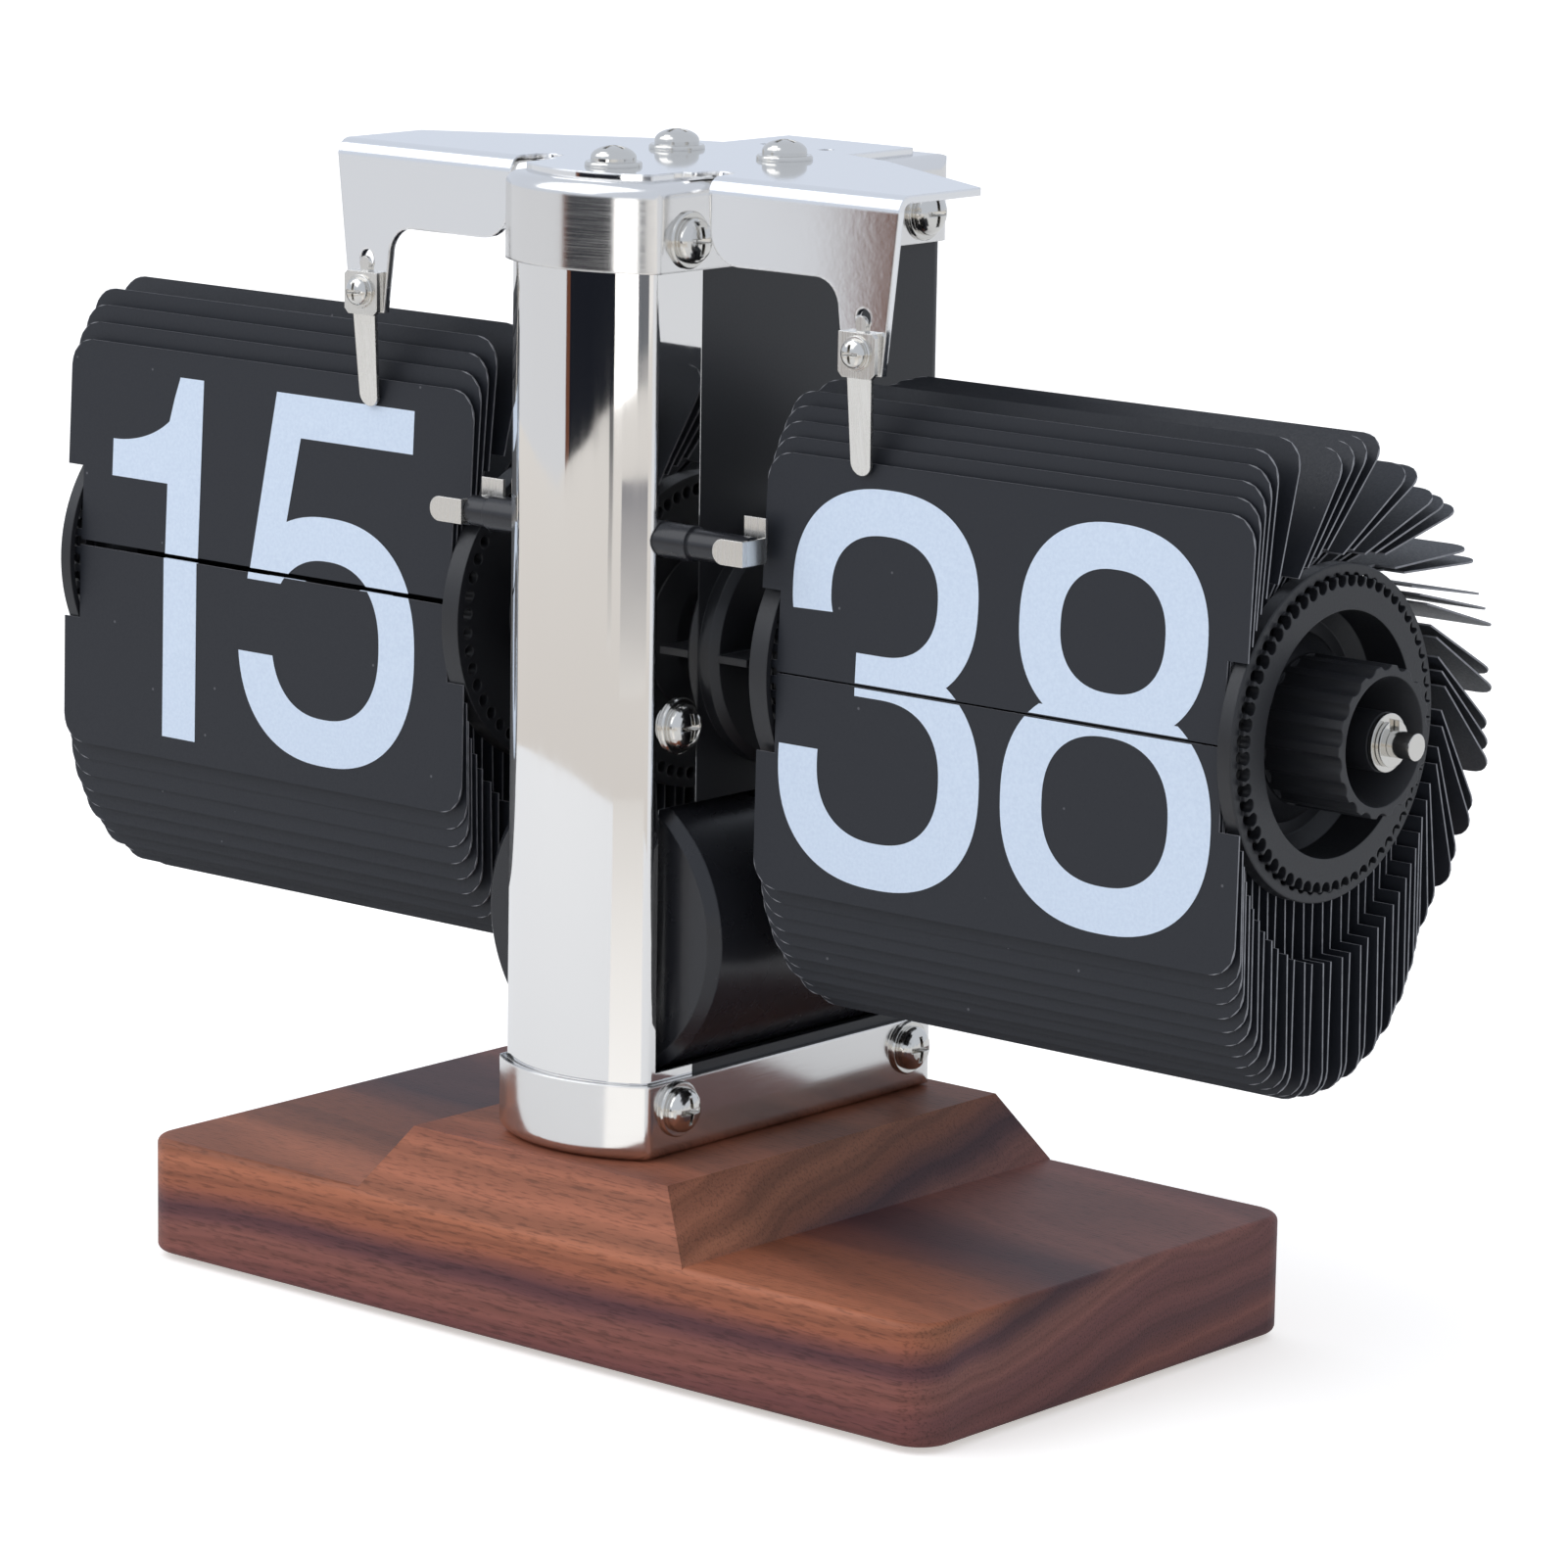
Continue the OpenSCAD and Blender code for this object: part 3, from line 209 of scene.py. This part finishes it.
# The fingers and the stop clips are spring steel strip, blanked, bent and left with a dull rolled face.
# The fingers are clamped to the arm plate's legs and the clips are bent round the ends of the stop bar.
spring, tree, shader = finish("spring_steel")
place = put(tree, "TexCoord", {}).outputs["Object"]
rolled = put(tree, "Mapping", {"Vector": place, "Scale": (2200.0, 900.0, 70.0)}).outputs["Vector"]
rolling = put(tree, "TexNoise", {"Vector": rolled, "Scale": 1.0, "Detail": 3.0}).outputs["Fac"]
blur = put(tree, "MapRange", {"Value": rolling, "From Min": 0.3, "From Max": 0.7, "To Min": 0.17,
                              "To Max": 0.32}).outputs["Result"]
tree.links.new(blur, shader.inputs["Roughness"])
ease = put(tree, "Bevel", {"Radius": 0.0002}, samples=4).outputs["Normal"]
tree.links.new(ease, shader.inputs["Normal"])
shader.inputs["Base Color"].default_value = (0.74, 0.72, 0.68, 1)
shader.inputs["Metallic"].default_value = 1.0
for name in ("hour_finger", "minute_finger", "stop_clips"):
    nodes[name].data.materials[0] = spring


# The screws are nickel-plated pan heads with pressed washers. The axle, its washers and its retaining clips
# are ground steel, and so are the arbor of the carry wheel and the can of the motor.
bright, tree, shader = finish("bright_steel")
place = put(tree, "TexCoord", {}).outputs["Object"]
turning = put(tree, "TexNoise", {"Vector": place, "Scale": 1400.0, "Detail": 2.0}).outputs["Fac"]
blur = put(tree, "MapRange", {"Value": turning, "From Min": 0.3, "From Max": 0.7, "To Min": 0.08,
                              "To Max": 0.15}).outputs["Result"]
tree.links.new(blur, shader.inputs["Roughness"])
ease = put(tree, "Bevel", {"Radius": 0.00025}, samples=4).outputs["Normal"]
tree.links.new(ease, shader.inputs["Normal"])
shader.inputs["Base Color"].default_value = (0.68, 0.66, 0.62, 1)
shader.inputs["Metallic"].default_value = 1.0
for name in ("finger_screws", "top_screws", "cap_screws", "movement_screws", "base_screws", "base_nuts",
             "axle", "axle_washers", "axle_clips", "carry_arbor", "motor"):
    nodes[name].data.materials[0] = bright


# The back of the column, the movement's frame and the cradle are moulded black plastic with a finely
# spark-eroded face. The drums' hubs are tubes of the same plastic, and the discs, the collar and the knob
# are pressed on them.
moulded, tree, shader = finish("satin_black")
place = put(tree, "TexCoord", {}).outputs["Object"]
sparks = put(tree, "TexNoise", {"Vector": place, "Scale": 3200.0, "Detail": 2.0}).outputs["Fac"]
sheen = put(tree, "MapRange", {"Value": sparks, "From Min": 0.3, "From Max": 0.7, "To Min": 0.34,
                               "To Max": 0.48}).outputs["Result"]
tree.links.new(sheen, shader.inputs["Roughness"])
ease = put(tree, "Bevel", {"Radius": 0.0003}, samples=4).outputs["Normal"]
face = put(tree, "Bump", {"Height": sparks, "Strength": 0.1, "Distance": 0.0001,
                          "Normal": ease}).outputs["Normal"]
tree.links.new(face, shader.inputs["Normal"])
shader.inputs["Base Color"].default_value = (0.013, 0.0135, 0.016, 1)
for name in ("rear_cover", "movement_frame", "battery_cradle", "minute_hub", "minute_inner_disc",
             "minute_outer_disc", "minute_knob", "hour_hub", "hour_inner_disc", "hour_outer_disc",
             "hour_collar"):
    nodes[name].data.materials[0] = moulded


# The battery barrel, its twist-off cap and the stop bar are moulded in a smoother black with a soft gloss.
# The barrel lies in its cradle from front to back of the column, and the bar passes from side to side.
glossy, tree, shader = finish("gloss_black")
place = put(tree, "TexCoord", {}).outputs["Object"]
flow = put(tree, "TexNoise", {"Vector": place, "Scale": 160.0, "Detail": 3.0}).outputs["Fac"]
sheen = put(tree, "MapRange", {"Value": flow, "From Min": 0.3, "From Max": 0.7, "To Min": 0.25,
                               "To Max": 0.29}).outputs["Result"]
tree.links.new(sheen, shader.inputs["Roughness"])
ease = put(tree, "Bevel", {"Radius": 0.0004}, samples=4).outputs["Normal"]
tree.links.new(ease, shader.inputs["Normal"])
shader.inputs["Base Color"].default_value = (0.015, 0.0155, 0.019, 1)
for name in ("battery_barrel", "battery_cap", "stop_bar"):
    nodes[name].data.materials[0] = glossy


# The wheels and pinions of the movement are cut from brass and pressed on their arbors and hubs.
# The battery contact is a punched brass disc that bears on the front of the cell.
brass, tree, shader = finish("brass")
place = put(tree, "TexCoord", {}).outputs["Object"]
stain = put(tree, "TexNoise", {"Vector": place, "Scale": 320.0, "Detail": 4.0}).outputs["Fac"]
blur = put(tree, "MapRange", {"Value": stain, "To Min": 0.18, "To Max": 0.42}).outputs["Result"]
tree.links.new(blur, shader.inputs["Roughness"])
tarnish = put(tree, "ValToRGB", {"Fac": stain})
tarnish.color_ramp.elements[0].color = (0.44, 0.27, 0.09, 1)
tarnish.color_ramp.elements[1].color = (0.72, 0.50, 0.18, 1)
tree.links.new(tarnish.outputs["Color"], shader.inputs["Base Color"])
shader.inputs["Metallic"].default_value = 1.0
for name in ("motor_pinion", "carry_wheel", "carry_pinion", "minute_pinion", "hour_wheel",
             "battery_contacts"):
    nodes[name].data.materials[0] = brass


# The cell inside the barrel is a zinc can in a plain grey-blue sleeve, bare of any print.
# The sleeve is shrunk on, which leaves its gloss a little uneven.
sleeve, tree, shader = finish("cell_sleeve")
place = put(tree, "TexCoord", {}).outputs["Object"]
shrink = put(tree, "TexNoise", {"Vector": place, "Scale": 90.0, "Detail": 2.0}).outputs["Fac"]
sheen = put(tree, "MapRange", {"Value": shrink, "To Min": 0.25, "To Max": 0.45}).outputs["Result"]
tree.links.new(sheen, shader.inputs["Roughness"])
shader.inputs["Base Color"].default_value = (0.16, 0.22, 0.30, 1)
nodes["battery_cell"].data.materials[0] = sleeve


# The leaves are blanked from thin charcoal plastic sheet with a satin face, and hang by their tabs in the
# discs. Their thin edges carry a pale grey painted highlight, so the stacks show as fine lines.
charcoal, tree, shader = finish("leaf_face")
place = put(tree, "TexCoord", {}).outputs["Object"]
tooth = put(tree, "TexNoise", {"Vector": place, "Scale": 2600.0, "Detail": 2.0}).outputs["Fac"]
sheen = put(tree, "MapRange", {"Value": tooth, "From Min": 0.3, "From Max": 0.7, "To Min": 0.42,
                               "To Max": 0.56}).outputs["Result"]
tree.links.new(sheen, shader.inputs["Roughness"])
face = put(tree, "Bump", {"Height": tooth, "Strength": 0.08, "Distance": 0.0001}).outputs["Normal"]
tree.links.new(face, shader.inputs["Normal"])
cells = put(tree, "TexVoronoi", {"Vector": place, "Scale": 170.0}).outputs["Distance"]
dust = put(tree, "MapRange", {"Value": cells, "From Min": 0.045, "From Max": 0.03}).outputs["Result"]
dusty = put(tree, "Mix", {"Factor": dust, "A": (0.017, 0.019, 0.025, 1), "B": (0.10, 0.10, 0.11, 1)},
            data_type="RGBA").outputs["Result"]
tree.links.new(dusty, shader.inputs["Base Color"])
shader.inputs["Specular IOR Level"].default_value = 0.36
# Painted highlight: the thin edge faces are coloured pale grey for the light they catch.
painted_edge_highlight, tree, shader = finish("leaf_edge")
place = put(tree, "TexCoord", {}).outputs["Object"]
edge_highlight_noise = put(tree, "TexNoise", {"Vector": place, "Scale": 700.0, "Detail": 2.0}).outputs["Fac"]
edge_highlight_ramp = put(tree, "ValToRGB", {"Fac": edge_highlight_noise})
edge_highlight_ramp.color_ramp.elements[0].color = (0.11, 0.11, 0.12, 1)
edge_highlight_ramp.color_ramp.elements[1].color = (0.33, 0.33, 0.35, 1)
tree.links.new(edge_highlight_ramp.outputs["Color"], shader.inputs["Base Color"])
shader.inputs["Roughness"].default_value = 0.5
thin_limit = 0.0001
for name in ("minute_upper_leaves", "minute_fan_leaves", "minute_lower_leaves", "minute_flap",
             "hour_upper_leaves", "hour_fan_leaves", "hour_lower_leaves", "hour_flap"):
    sheet = nodes[name].data
    sheet.materials[0] = charcoal
    sheet.materials.append(painted_edge_highlight)
    area = np.empty(len(sheet.polygons))
    sheet.polygons.foreach_get("area", area)
    starts = np.empty(len(sheet.polygons), np.int32)
    sheet.polygons.foreach_get("loop_start", starts)
    edges = np.empty(len(sheet.loops), np.int32)
    sheet.loops.foreach_get("edge_index", edges)
    ends = np.empty(2 * len(sheet.edges), np.int32)
    sheet.edges.foreach_get("vertices", ends)
    co = np.empty(3 * len(sheet.vertices))
    sheet.vertices.foreach_get("co", co)
    co = co.reshape(-1, 3)
    length = np.linalg.norm(co[ends[0::2]] - co[ends[1::2]], axis=1)
    around = np.add.reduceat(length[edges], starts)
    thin = area / around < thin_limit
    sheet.polygons.foreach_set("material_index", thin.astype(np.int32))


# The numerals are screen-printed on the leaves in a cool white, in a broad grotesque face. The leaves in
# front show 15 and 38. The hanging front leaves carry the tops of 14 and 37 on their backs, and the leaves
# behind them the feet.
print_white, tree, shader = finish("print_white")
place = put(tree, "TexCoord", {}).outputs["Object"]
mesh_marks = put(tree, "TexNoise", {"Vector": place, "Scale": 1800.0, "Detail": 2.0}).outputs["Fac"]
ink = put(tree, "ValToRGB", {"Fac": mesh_marks})
ink.color_ramp.elements[0].position = 0.3
ink.color_ramp.elements[0].color = (0.63, 0.72, 0.85, 1)
ink.color_ramp.elements[1].position = 0.7
ink.color_ramp.elements[1].color = (0.69, 0.78, 0.90, 1)
tree.links.new(ink.outputs["Color"], shader.inputs["Base Color"])
shader.inputs["Roughness"].default_value = 0.5
shader.inputs["Specular IOR Level"].default_value = 0.3


def oval(angle, left, right, low, high):
    """Points of x = cx + a·|cos t|^(2/n)·sign(cos t) and z = cz + b·|sin t|^(2/n)·sign(sin t), an oval
    between left and right, low and high that n = 2.35 makes a little square."""
    turn = np.radians(angle)
    power = 2 / 2.35
    c, s = np.cos(turn), np.sin(turn)
    x = (left + right) / 2 + (right - left) / 2 * np.sign(c) * np.abs(c) ** power
    z = (low + high) / 2 + (high - low) / 2 * np.sign(s) * np.abs(s) ** power
    return np.stack([x, z], axis=-1)


def ribbon(outer, inner):
    """The flat surface P(t, s) = (1 - s)·outer(t) + s·inner(t), as (points, quads)."""
    n = len(outer)
    i = np.arange(n - 1)
    return np.concatenate([outer, inner]), np.stack([i, i + 1, i + 1 + n, i + n], axis=-1)


def bar(*corners):
    """The straight ribbon between the line of the first two corners and that of the last two."""
    return ribbon(np.array(corners[:2]), np.array(corners[2:]))


# Each numeral is a list of ribbons, in the millimetres of the frame, with the heights it is cut at. The two
# below cut nothing.
below, above = 0, 200
steps = np.linspace(0, 1, 97)
full = 360 * steps
eight = [
    (ribbon(oval(full, 79.6, 113.8, 107.4, 138.5), oval(full, 87.2, 106.2, 113.8, 131.8)), 110.7, above),
    (ribbon(oval(full, 77.5, 115.9, 78.4, 113.9), oval(full, 85.2, 108.2, 85.4, 107.4)), below, 110.7),
]
three = [
    (ribbon(oval(191 - 281 * steps, 36.4, 71.9, 107.2, 138.5),
            oval(199 - 289 * steps, 43.9, 64.3, 113.7, 131.6)), 110.6, above),
    (ribbon(oval(90 - 274.8 * steps, 34.8, 73.5, 78.4, 113.7),
            oval(90 - 277.4 * steps, 42.4, 65.8, 85.4, 107.2)), below, 110.6),
    (bar((49.3, 113.7), (54.12, 113.7), (49.3, 107.2), (54.12, 107.2)), below, above),
]
flag = np.linspace(-110.5, -97.6, 33)
rise = 126.4 + 10.4 * (1 - np.sqrt(np.clip(1 - ((flag + 110.5) / 16.2) ** 2, 0, 1)))
stem_x = np.array([-97.6, -96.6, -95.4, -90.0])
stem_top = np.array([rise[-1], 134.3, 137.9, 137.9])
one = [
    (ribbon(np.stack([flag, rise], -1), np.stack([flag, 0 * flag + 120.3], -1)), below, above),
    (ribbon(np.stack([stem_x, stem_top], -1), np.stack([stem_x, 0 * stem_x + 78.6], -1)), below, above),
]
bowl_out = oval(115.4 - 288.0 * steps, -80.3, -41.0, 78.6, 118.8)
bowl_in = oval(144.3 - 310.4 * steps, -72.7, -48.8, 86.2, 111.8)
five = [
    (ribbon(np.array([[-78.3, bowl_in[0, 1]], [-76.7, bowl_out[0, 1]], [-74.5, 130.9]]),
            np.array([bowl_in[0], bowl_out[0], [-67.7, 130.9]])), below, above),
    (bar((-73.4, 137.8), (-43.0, 137.8), (-74.5, 130.9), (-43.0, 130.9)), below, above),
    (ribbon(bowl_out, bowl_in), below, above),
]
bend = np.sin(np.pi / 2 * steps)
fall = 131.3 - 52.9 * steps
seven = [
    (bar((79.0, 138.0), (114.5, 138.0), (79.0, 131.3), (114.5, 131.3)), below, above),
    (ribbon(np.stack([105.5 - 16 * bend, fall], -1),
            np.stack([114.5 - 17 * bend, fall], -1)), below, above),
]
four = [
    (bar((-53.5, 137.9), (-53.5, 78.6), (-46.2, 137.9), (-46.2, 78.6)), below, above),
    (bar((-81.5, 97.6), (-53.5, 137.9), (-73.0, 97.6), (-53.5, 126.9)), below, above),
    (bar((-81.5, 97.6), (-53.5, 97.6), (-81.5, 91.2), (-53.5, 91.2)), below, above),
    (bar((-46.2, 97.6), (-40.6, 97.6), (-46.2, 91.2), (-40.6, 91.2)), below, above),
]


def print_half(name, strips, lift, half, zero, split, pin, lean, raised, body):
    """Inks one half of a number on a leaf: y = pin y - h cos(lean) and z = pin z + h sin(lean), in
    millimetres, with h the height over the leaf's pin. The ink is raised from the leaf's middle, forwards
    or (below 0) back, and keeps half a gap clear of the line where the halves meet."""
    half_gap = 0.33
    low, high = (split + half_gap, np.inf) if half == "upper" else (-np.inf, split - half_gap)
    inked = bmesh.new()
    for (points, quads), z_from, z_to in strips:
        strip = bpy.data.meshes.new("strip")
        strip.from_pydata(np.stack([points[:, 0], 0 * points[:, 0], points[:, 1] + lift], -1).tolist(),
                          [], quads.tolist())
        piece = bmesh.new()
        piece.from_mesh(strip)
        for height, way in ((max(z_from + lift, low), -1), (min(z_to + lift, high), 1)):
            bmesh.ops.bisect_plane(piece, geom=piece.verts[:] + piece.edges[:] + piece.faces[:],
                                   dist=1e-5, plane_co=(0, 0, height), plane_no=(0, 0, way),
                                   clear_outer=True)
        piece.to_mesh(strip)
        piece.free()
        inked.from_mesh(strip)
        bpy.data.meshes.remove(strip)
    flat = bpy.data.meshes.new(name)
    inked.to_mesh(flat)
    inked.free()
    co = np.empty(3 * len(flat.vertices))
    flat.vertices.foreach_get("co", co)
    x, _, z = co.reshape(-1, 3).T
    h = z - zero if half == "upper" else zero - z
    s, c = np.sin(np.radians(lean)), np.cos(np.radians(lean))
    y = pin[0] - h * c - raised * abs(s)
    z = pin[1] + h * s - raised * c * np.sign(s)
    flat.vertices.foreach_set("co", (np.stack([x, y, z], -1) / 1000).ravel())
    turned = bmesh.new()
    turned.from_mesh(flat)
    turned.normal_update()
    wrong_way = [face for face in turned.faces if face.normal.y * raised > 0]
    bmesh.ops.reverse_faces(turned, faces=wrong_way)
    turned.to_mesh(flat)
    turned.free()
    flat.materials.append(print_white)
    numeral = bpy.data.objects.new(name, flat)
    bpy.context.scene.collection.objects.link(numeral)
    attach(numeral, body)


standing, hanging, hanging_behind = 93.0, 271.0, 269.0
front_ink, inner_ink = 0.2, 0.17
for drum, shown, last, lift, front_pin, flap_pin, behind_pin in (
    ("minute", three + eight, three + seven, 0.0, (-24.863, 110.0), (-24.947, 107.6), (-24.43, 105.25)),
    ("hour", one + five, one + four, 2.458, (-24.513, 112.458), (-24.902, 109.481), (-24.55, 106.50)),
):
    top = front_pin[1]
    foot = flap_pin[1]
    split = (top + foot) / 2
    flap = f"{drum}_front_leaf"
    for part, strips, half, zero, pin, lean, raised, body in (
        ("upper", shown, "upper", top, front_pin, standing, front_ink, "frame"),
        ("lower", shown, "lower", foot, flap_pin, hanging, front_ink, flap),
        ("last_upper", last, "upper", top, flap_pin, hanging, -inner_ink, flap),
        ("last_lower", last, "lower", foot, behind_pin, hanging_behind, inner_ink, "frame"),
    ):
        print_half(f"{drum}_{part}_numeral", strips, lift, half, zero, split, pin, lean, raised, body)


# The room is a white table top under a broad pale sky, with one large soft light over the left front.
# The camera sees the table and the background as white, with the clock's own shadow on the table.
floor_mesh = bpy.data.meshes.new("floor")
reach = 6.0
floor_mesh.from_pydata([(-reach, -reach, 0), (reach, -reach, 0), (reach, reach, 0), (-reach, reach, 0)],
                       [], [(0, 1, 2, 3)])
floor = bpy.data.objects.new("floor", floor_mesh)
bpy.context.scene.collection.objects.link(floor)
paper, tree, shader = finish("paper")
shader.inputs["Base Color"].default_value = (0.86, 0.86, 0.86, 1)
shader.inputs["Roughness"].default_value = 0.9
shader.inputs["Specular IOR Level"].default_value = 0.0
shader.inputs["Emission Color"].default_value = (1.0, 0.96, 0.92, 1)
mirror_glow, camera_glow = 0.10, 0.50
ray = put(tree, "LightPath", {})
mirrored = put(tree, "Math", {0: ray.outputs["Is Glossy Ray"], 1: mirror_glow},
               operation="MULTIPLY").outputs["Value"]
glow = put(tree, "Math", {0: ray.outputs["Is Camera Ray"], 1: camera_glow, 2: mirrored},
           operation="MULTIPLY_ADD").outputs["Value"]
tree.links.new(glow, shader.inputs["Emission Strength"])
floor_mesh.materials.append(paper)

world = bpy.data.worlds.new("room")
bpy.context.scene.world = world
world.use_nodes = True
tree = world.node_tree
sky = tree.nodes["Background"]
sky_light = (0.70, 0.735, 0.79, 1)
mirrored_sky = (0.69, 0.745, 0.845, 1)
ray = put(tree, "LightPath", {})
lit = put(tree, "Mix", {"Factor": ray.outputs["Is Camera Ray"], "A": sky_light, "B": (1, 1, 1, 1)},
          data_type="RGBA").outputs["Result"]
seen = put(tree, "Mix", {"Factor": ray.outputs["Is Glossy Ray"], "A": lit, "B": mirrored_sky},
           data_type="RGBA").outputs["Result"]
tree.links.new(seen, sky.inputs["Color"])
sky.inputs["Strength"].default_value = 1.0

lamp = bpy.data.lights.new("key", "AREA")
lamp.size = 2.2
lamp.energy = 18.0
key = bpy.data.objects.new("key", lamp)
key.location = (-1.0, -1.2, 1.6)
key.rotation_euler = (Vector((0, 0, 0.1)) - key.location).to_track_quat("-Z", "Y").to_euler()
bpy.context.scene.collection.objects.link(key)


# What the polished steel mirrors stands a metre away on the camera's side: a pale wall, the edge of a brown
# cupboard, the dark room behind the camera and a window with its frame. Before them on the table lie the
# shade of the window's bars and its glare. Only mirrors see these cards.
def card(name, inner, outer, first_colour, last_colour):
    """The ruled surface P(b, s) = (1 - s)·inner(b) + s·outer(b), which glows from the first colour to
    the last along s. The attribute "fade" keeps s."""
    n = len(inner)
    i = np.arange(n - 1)
    mesh = bpy.data.meshes.new(name)
    mesh.from_pydata(np.concatenate([inner, outer]).tolist(), [],
                     np.stack([i, i + n, i + n + 1, i + 1], -1).tolist())
    mesh.attributes.new("fade", "FLOAT", "POINT").data.foreach_set("value", np.repeat([0.0, 1.0], n))
    made = bpy.data.objects.new(name, mesh)
    bpy.context.scene.collection.objects.link(made)
    shine, tree, shader = finish(name)
    fade = put(tree, "Attribute", {}, attribute_name="fade").outputs["Fac"]
    glow = put(tree, "Mix", {"Factor": fade, "A": first_colour, "B": last_colour}, data_type="RGBA")
    tree.links.new(glow.outputs["Result"], shader.inputs["Emission Color"])
    shader.inputs["Base Color"].default_value = (0, 0, 0, 1)
    shader.inputs["Specular IOR Level"].default_value = 0.0
    shader.inputs["Emission Strength"].default_value = 1.0
    mesh.materials.append(shine)
    made.visible_camera = False
    made.visible_diffuse = False
    made.visible_shadow = False
    made.visible_transmission = False


def ground(bearings, radius, height):
    """Points at a bearing from straight ahead, a radius from the clock and a height, in metres."""
    turn = np.radians(bearings)
    return np.stack([radius * np.sin(turn), -radius * np.cos(turn), height + 0 * turn], -1)


def table_edge(bearings):
    """How far off the table ends at a bearing, in metres: nearest at -43 degrees, beside the cupboard."""
    away = bearings + 43.0
    return 0.905 + np.where(away < 0, -0.0019, 0.0037) * away


room_height, window_height = 0.14, 0.09
for name, first, last, height, colour in (
    ("pale_wall", -125.0, -36.2, room_height, (0.74, 0.76, 0.80, 1)),
    ("cupboard_edge", -36.2, -32.8, room_height, (0.15, 0.060, 0.036, 1)),
    ("dark_room", -32.8, 3.4, room_height, (0.012, 0.014, 0.02, 1)),
    ("window", 3.4, 20.0, window_height, (2.5, 2.5, 2.5, 1)),
    ("window_frame", 20.0, 25.5, window_height, (0.16, 0.17, 0.19, 1)),
    ("window_side", 25.5, 60.0, window_height, (0.95, 0.94, 0.93, 1)),
):
    bearings = np.linspace(first, last, 24)
    edge = table_edge(bearings)
    card(name, ground(bearings, edge, 0.0), ground(bearings, edge, height), colour, colour)
table = (0.80, 0.78, 0.76, 1)
near_table = (0.74, 0.71, 0.685, 1)
table_level, shade_level = 0.0005, 0.001
bearings = np.linspace(-125.0, 60.0, 64)
near = 0.487 - 6.8e-6 * (bearings + 60.0) ** 2
card("far_table", ground(bearings, near, table_level),
     ground(bearings, table_edge(bearings), table_level), near_table, table)
for name, first, last, start, stop, dark in (
    ("bar_shade", 0.0, 3.0, 0.64, 1.06, 0.10),
    ("frame_shade", 9.5, 38.0, 0.58, 0.92, 0.25),
):
    bearings = np.linspace(first, last, 8)
    card(name, ground(bearings, start, shade_level), ground(bearings, stop, shade_level), table,
         (dark, dark, 1.1 * dark, 1))
bearings = np.linspace(6.0, 34.0, 8)
card("window_glare", ground(bearings, 0.10, shade_level), ground(bearings, 0.46, shade_level),
     (1.2, 1.2, 1.2, 1), table)


# The camera stands where the photographer stood, a metre off to the right of the clock and a little above
# it, with a long lens.
azimuth, elevation, roll = np.radians([40.2, 11.35, -0.92])
reach_out = np.cos(elevation)
forward = Vector((-np.sin(azimuth) * reach_out, np.cos(azimuth) * reach_out, -np.sin(elevation)))
right = Vector((np.cos(azimuth), np.sin(azimuth), 0))
down = forward.cross(right)
turned_right = np.cos(roll) * right + np.sin(roll) * down
turned_down = -np.sin(roll) * right + np.cos(roll) * down
lens = bpy.data.cameras.new("photo_angle")
lens.sensor_width = 36.0
lens.lens = 147.93
camera = bpy.data.objects.new("photo_angle", lens)
turn = Matrix((turned_right, -turned_down, -forward)).transposed()
camera.matrix_world = Matrix.Translation((0.6507, -0.7527, 0.2831)) @ turn.to_4x4()
bpy.context.scene.collection.objects.link(camera)
bpy.context.scene.camera = camera
bpy.context.scene.view_settings.view_transform = "Standard"
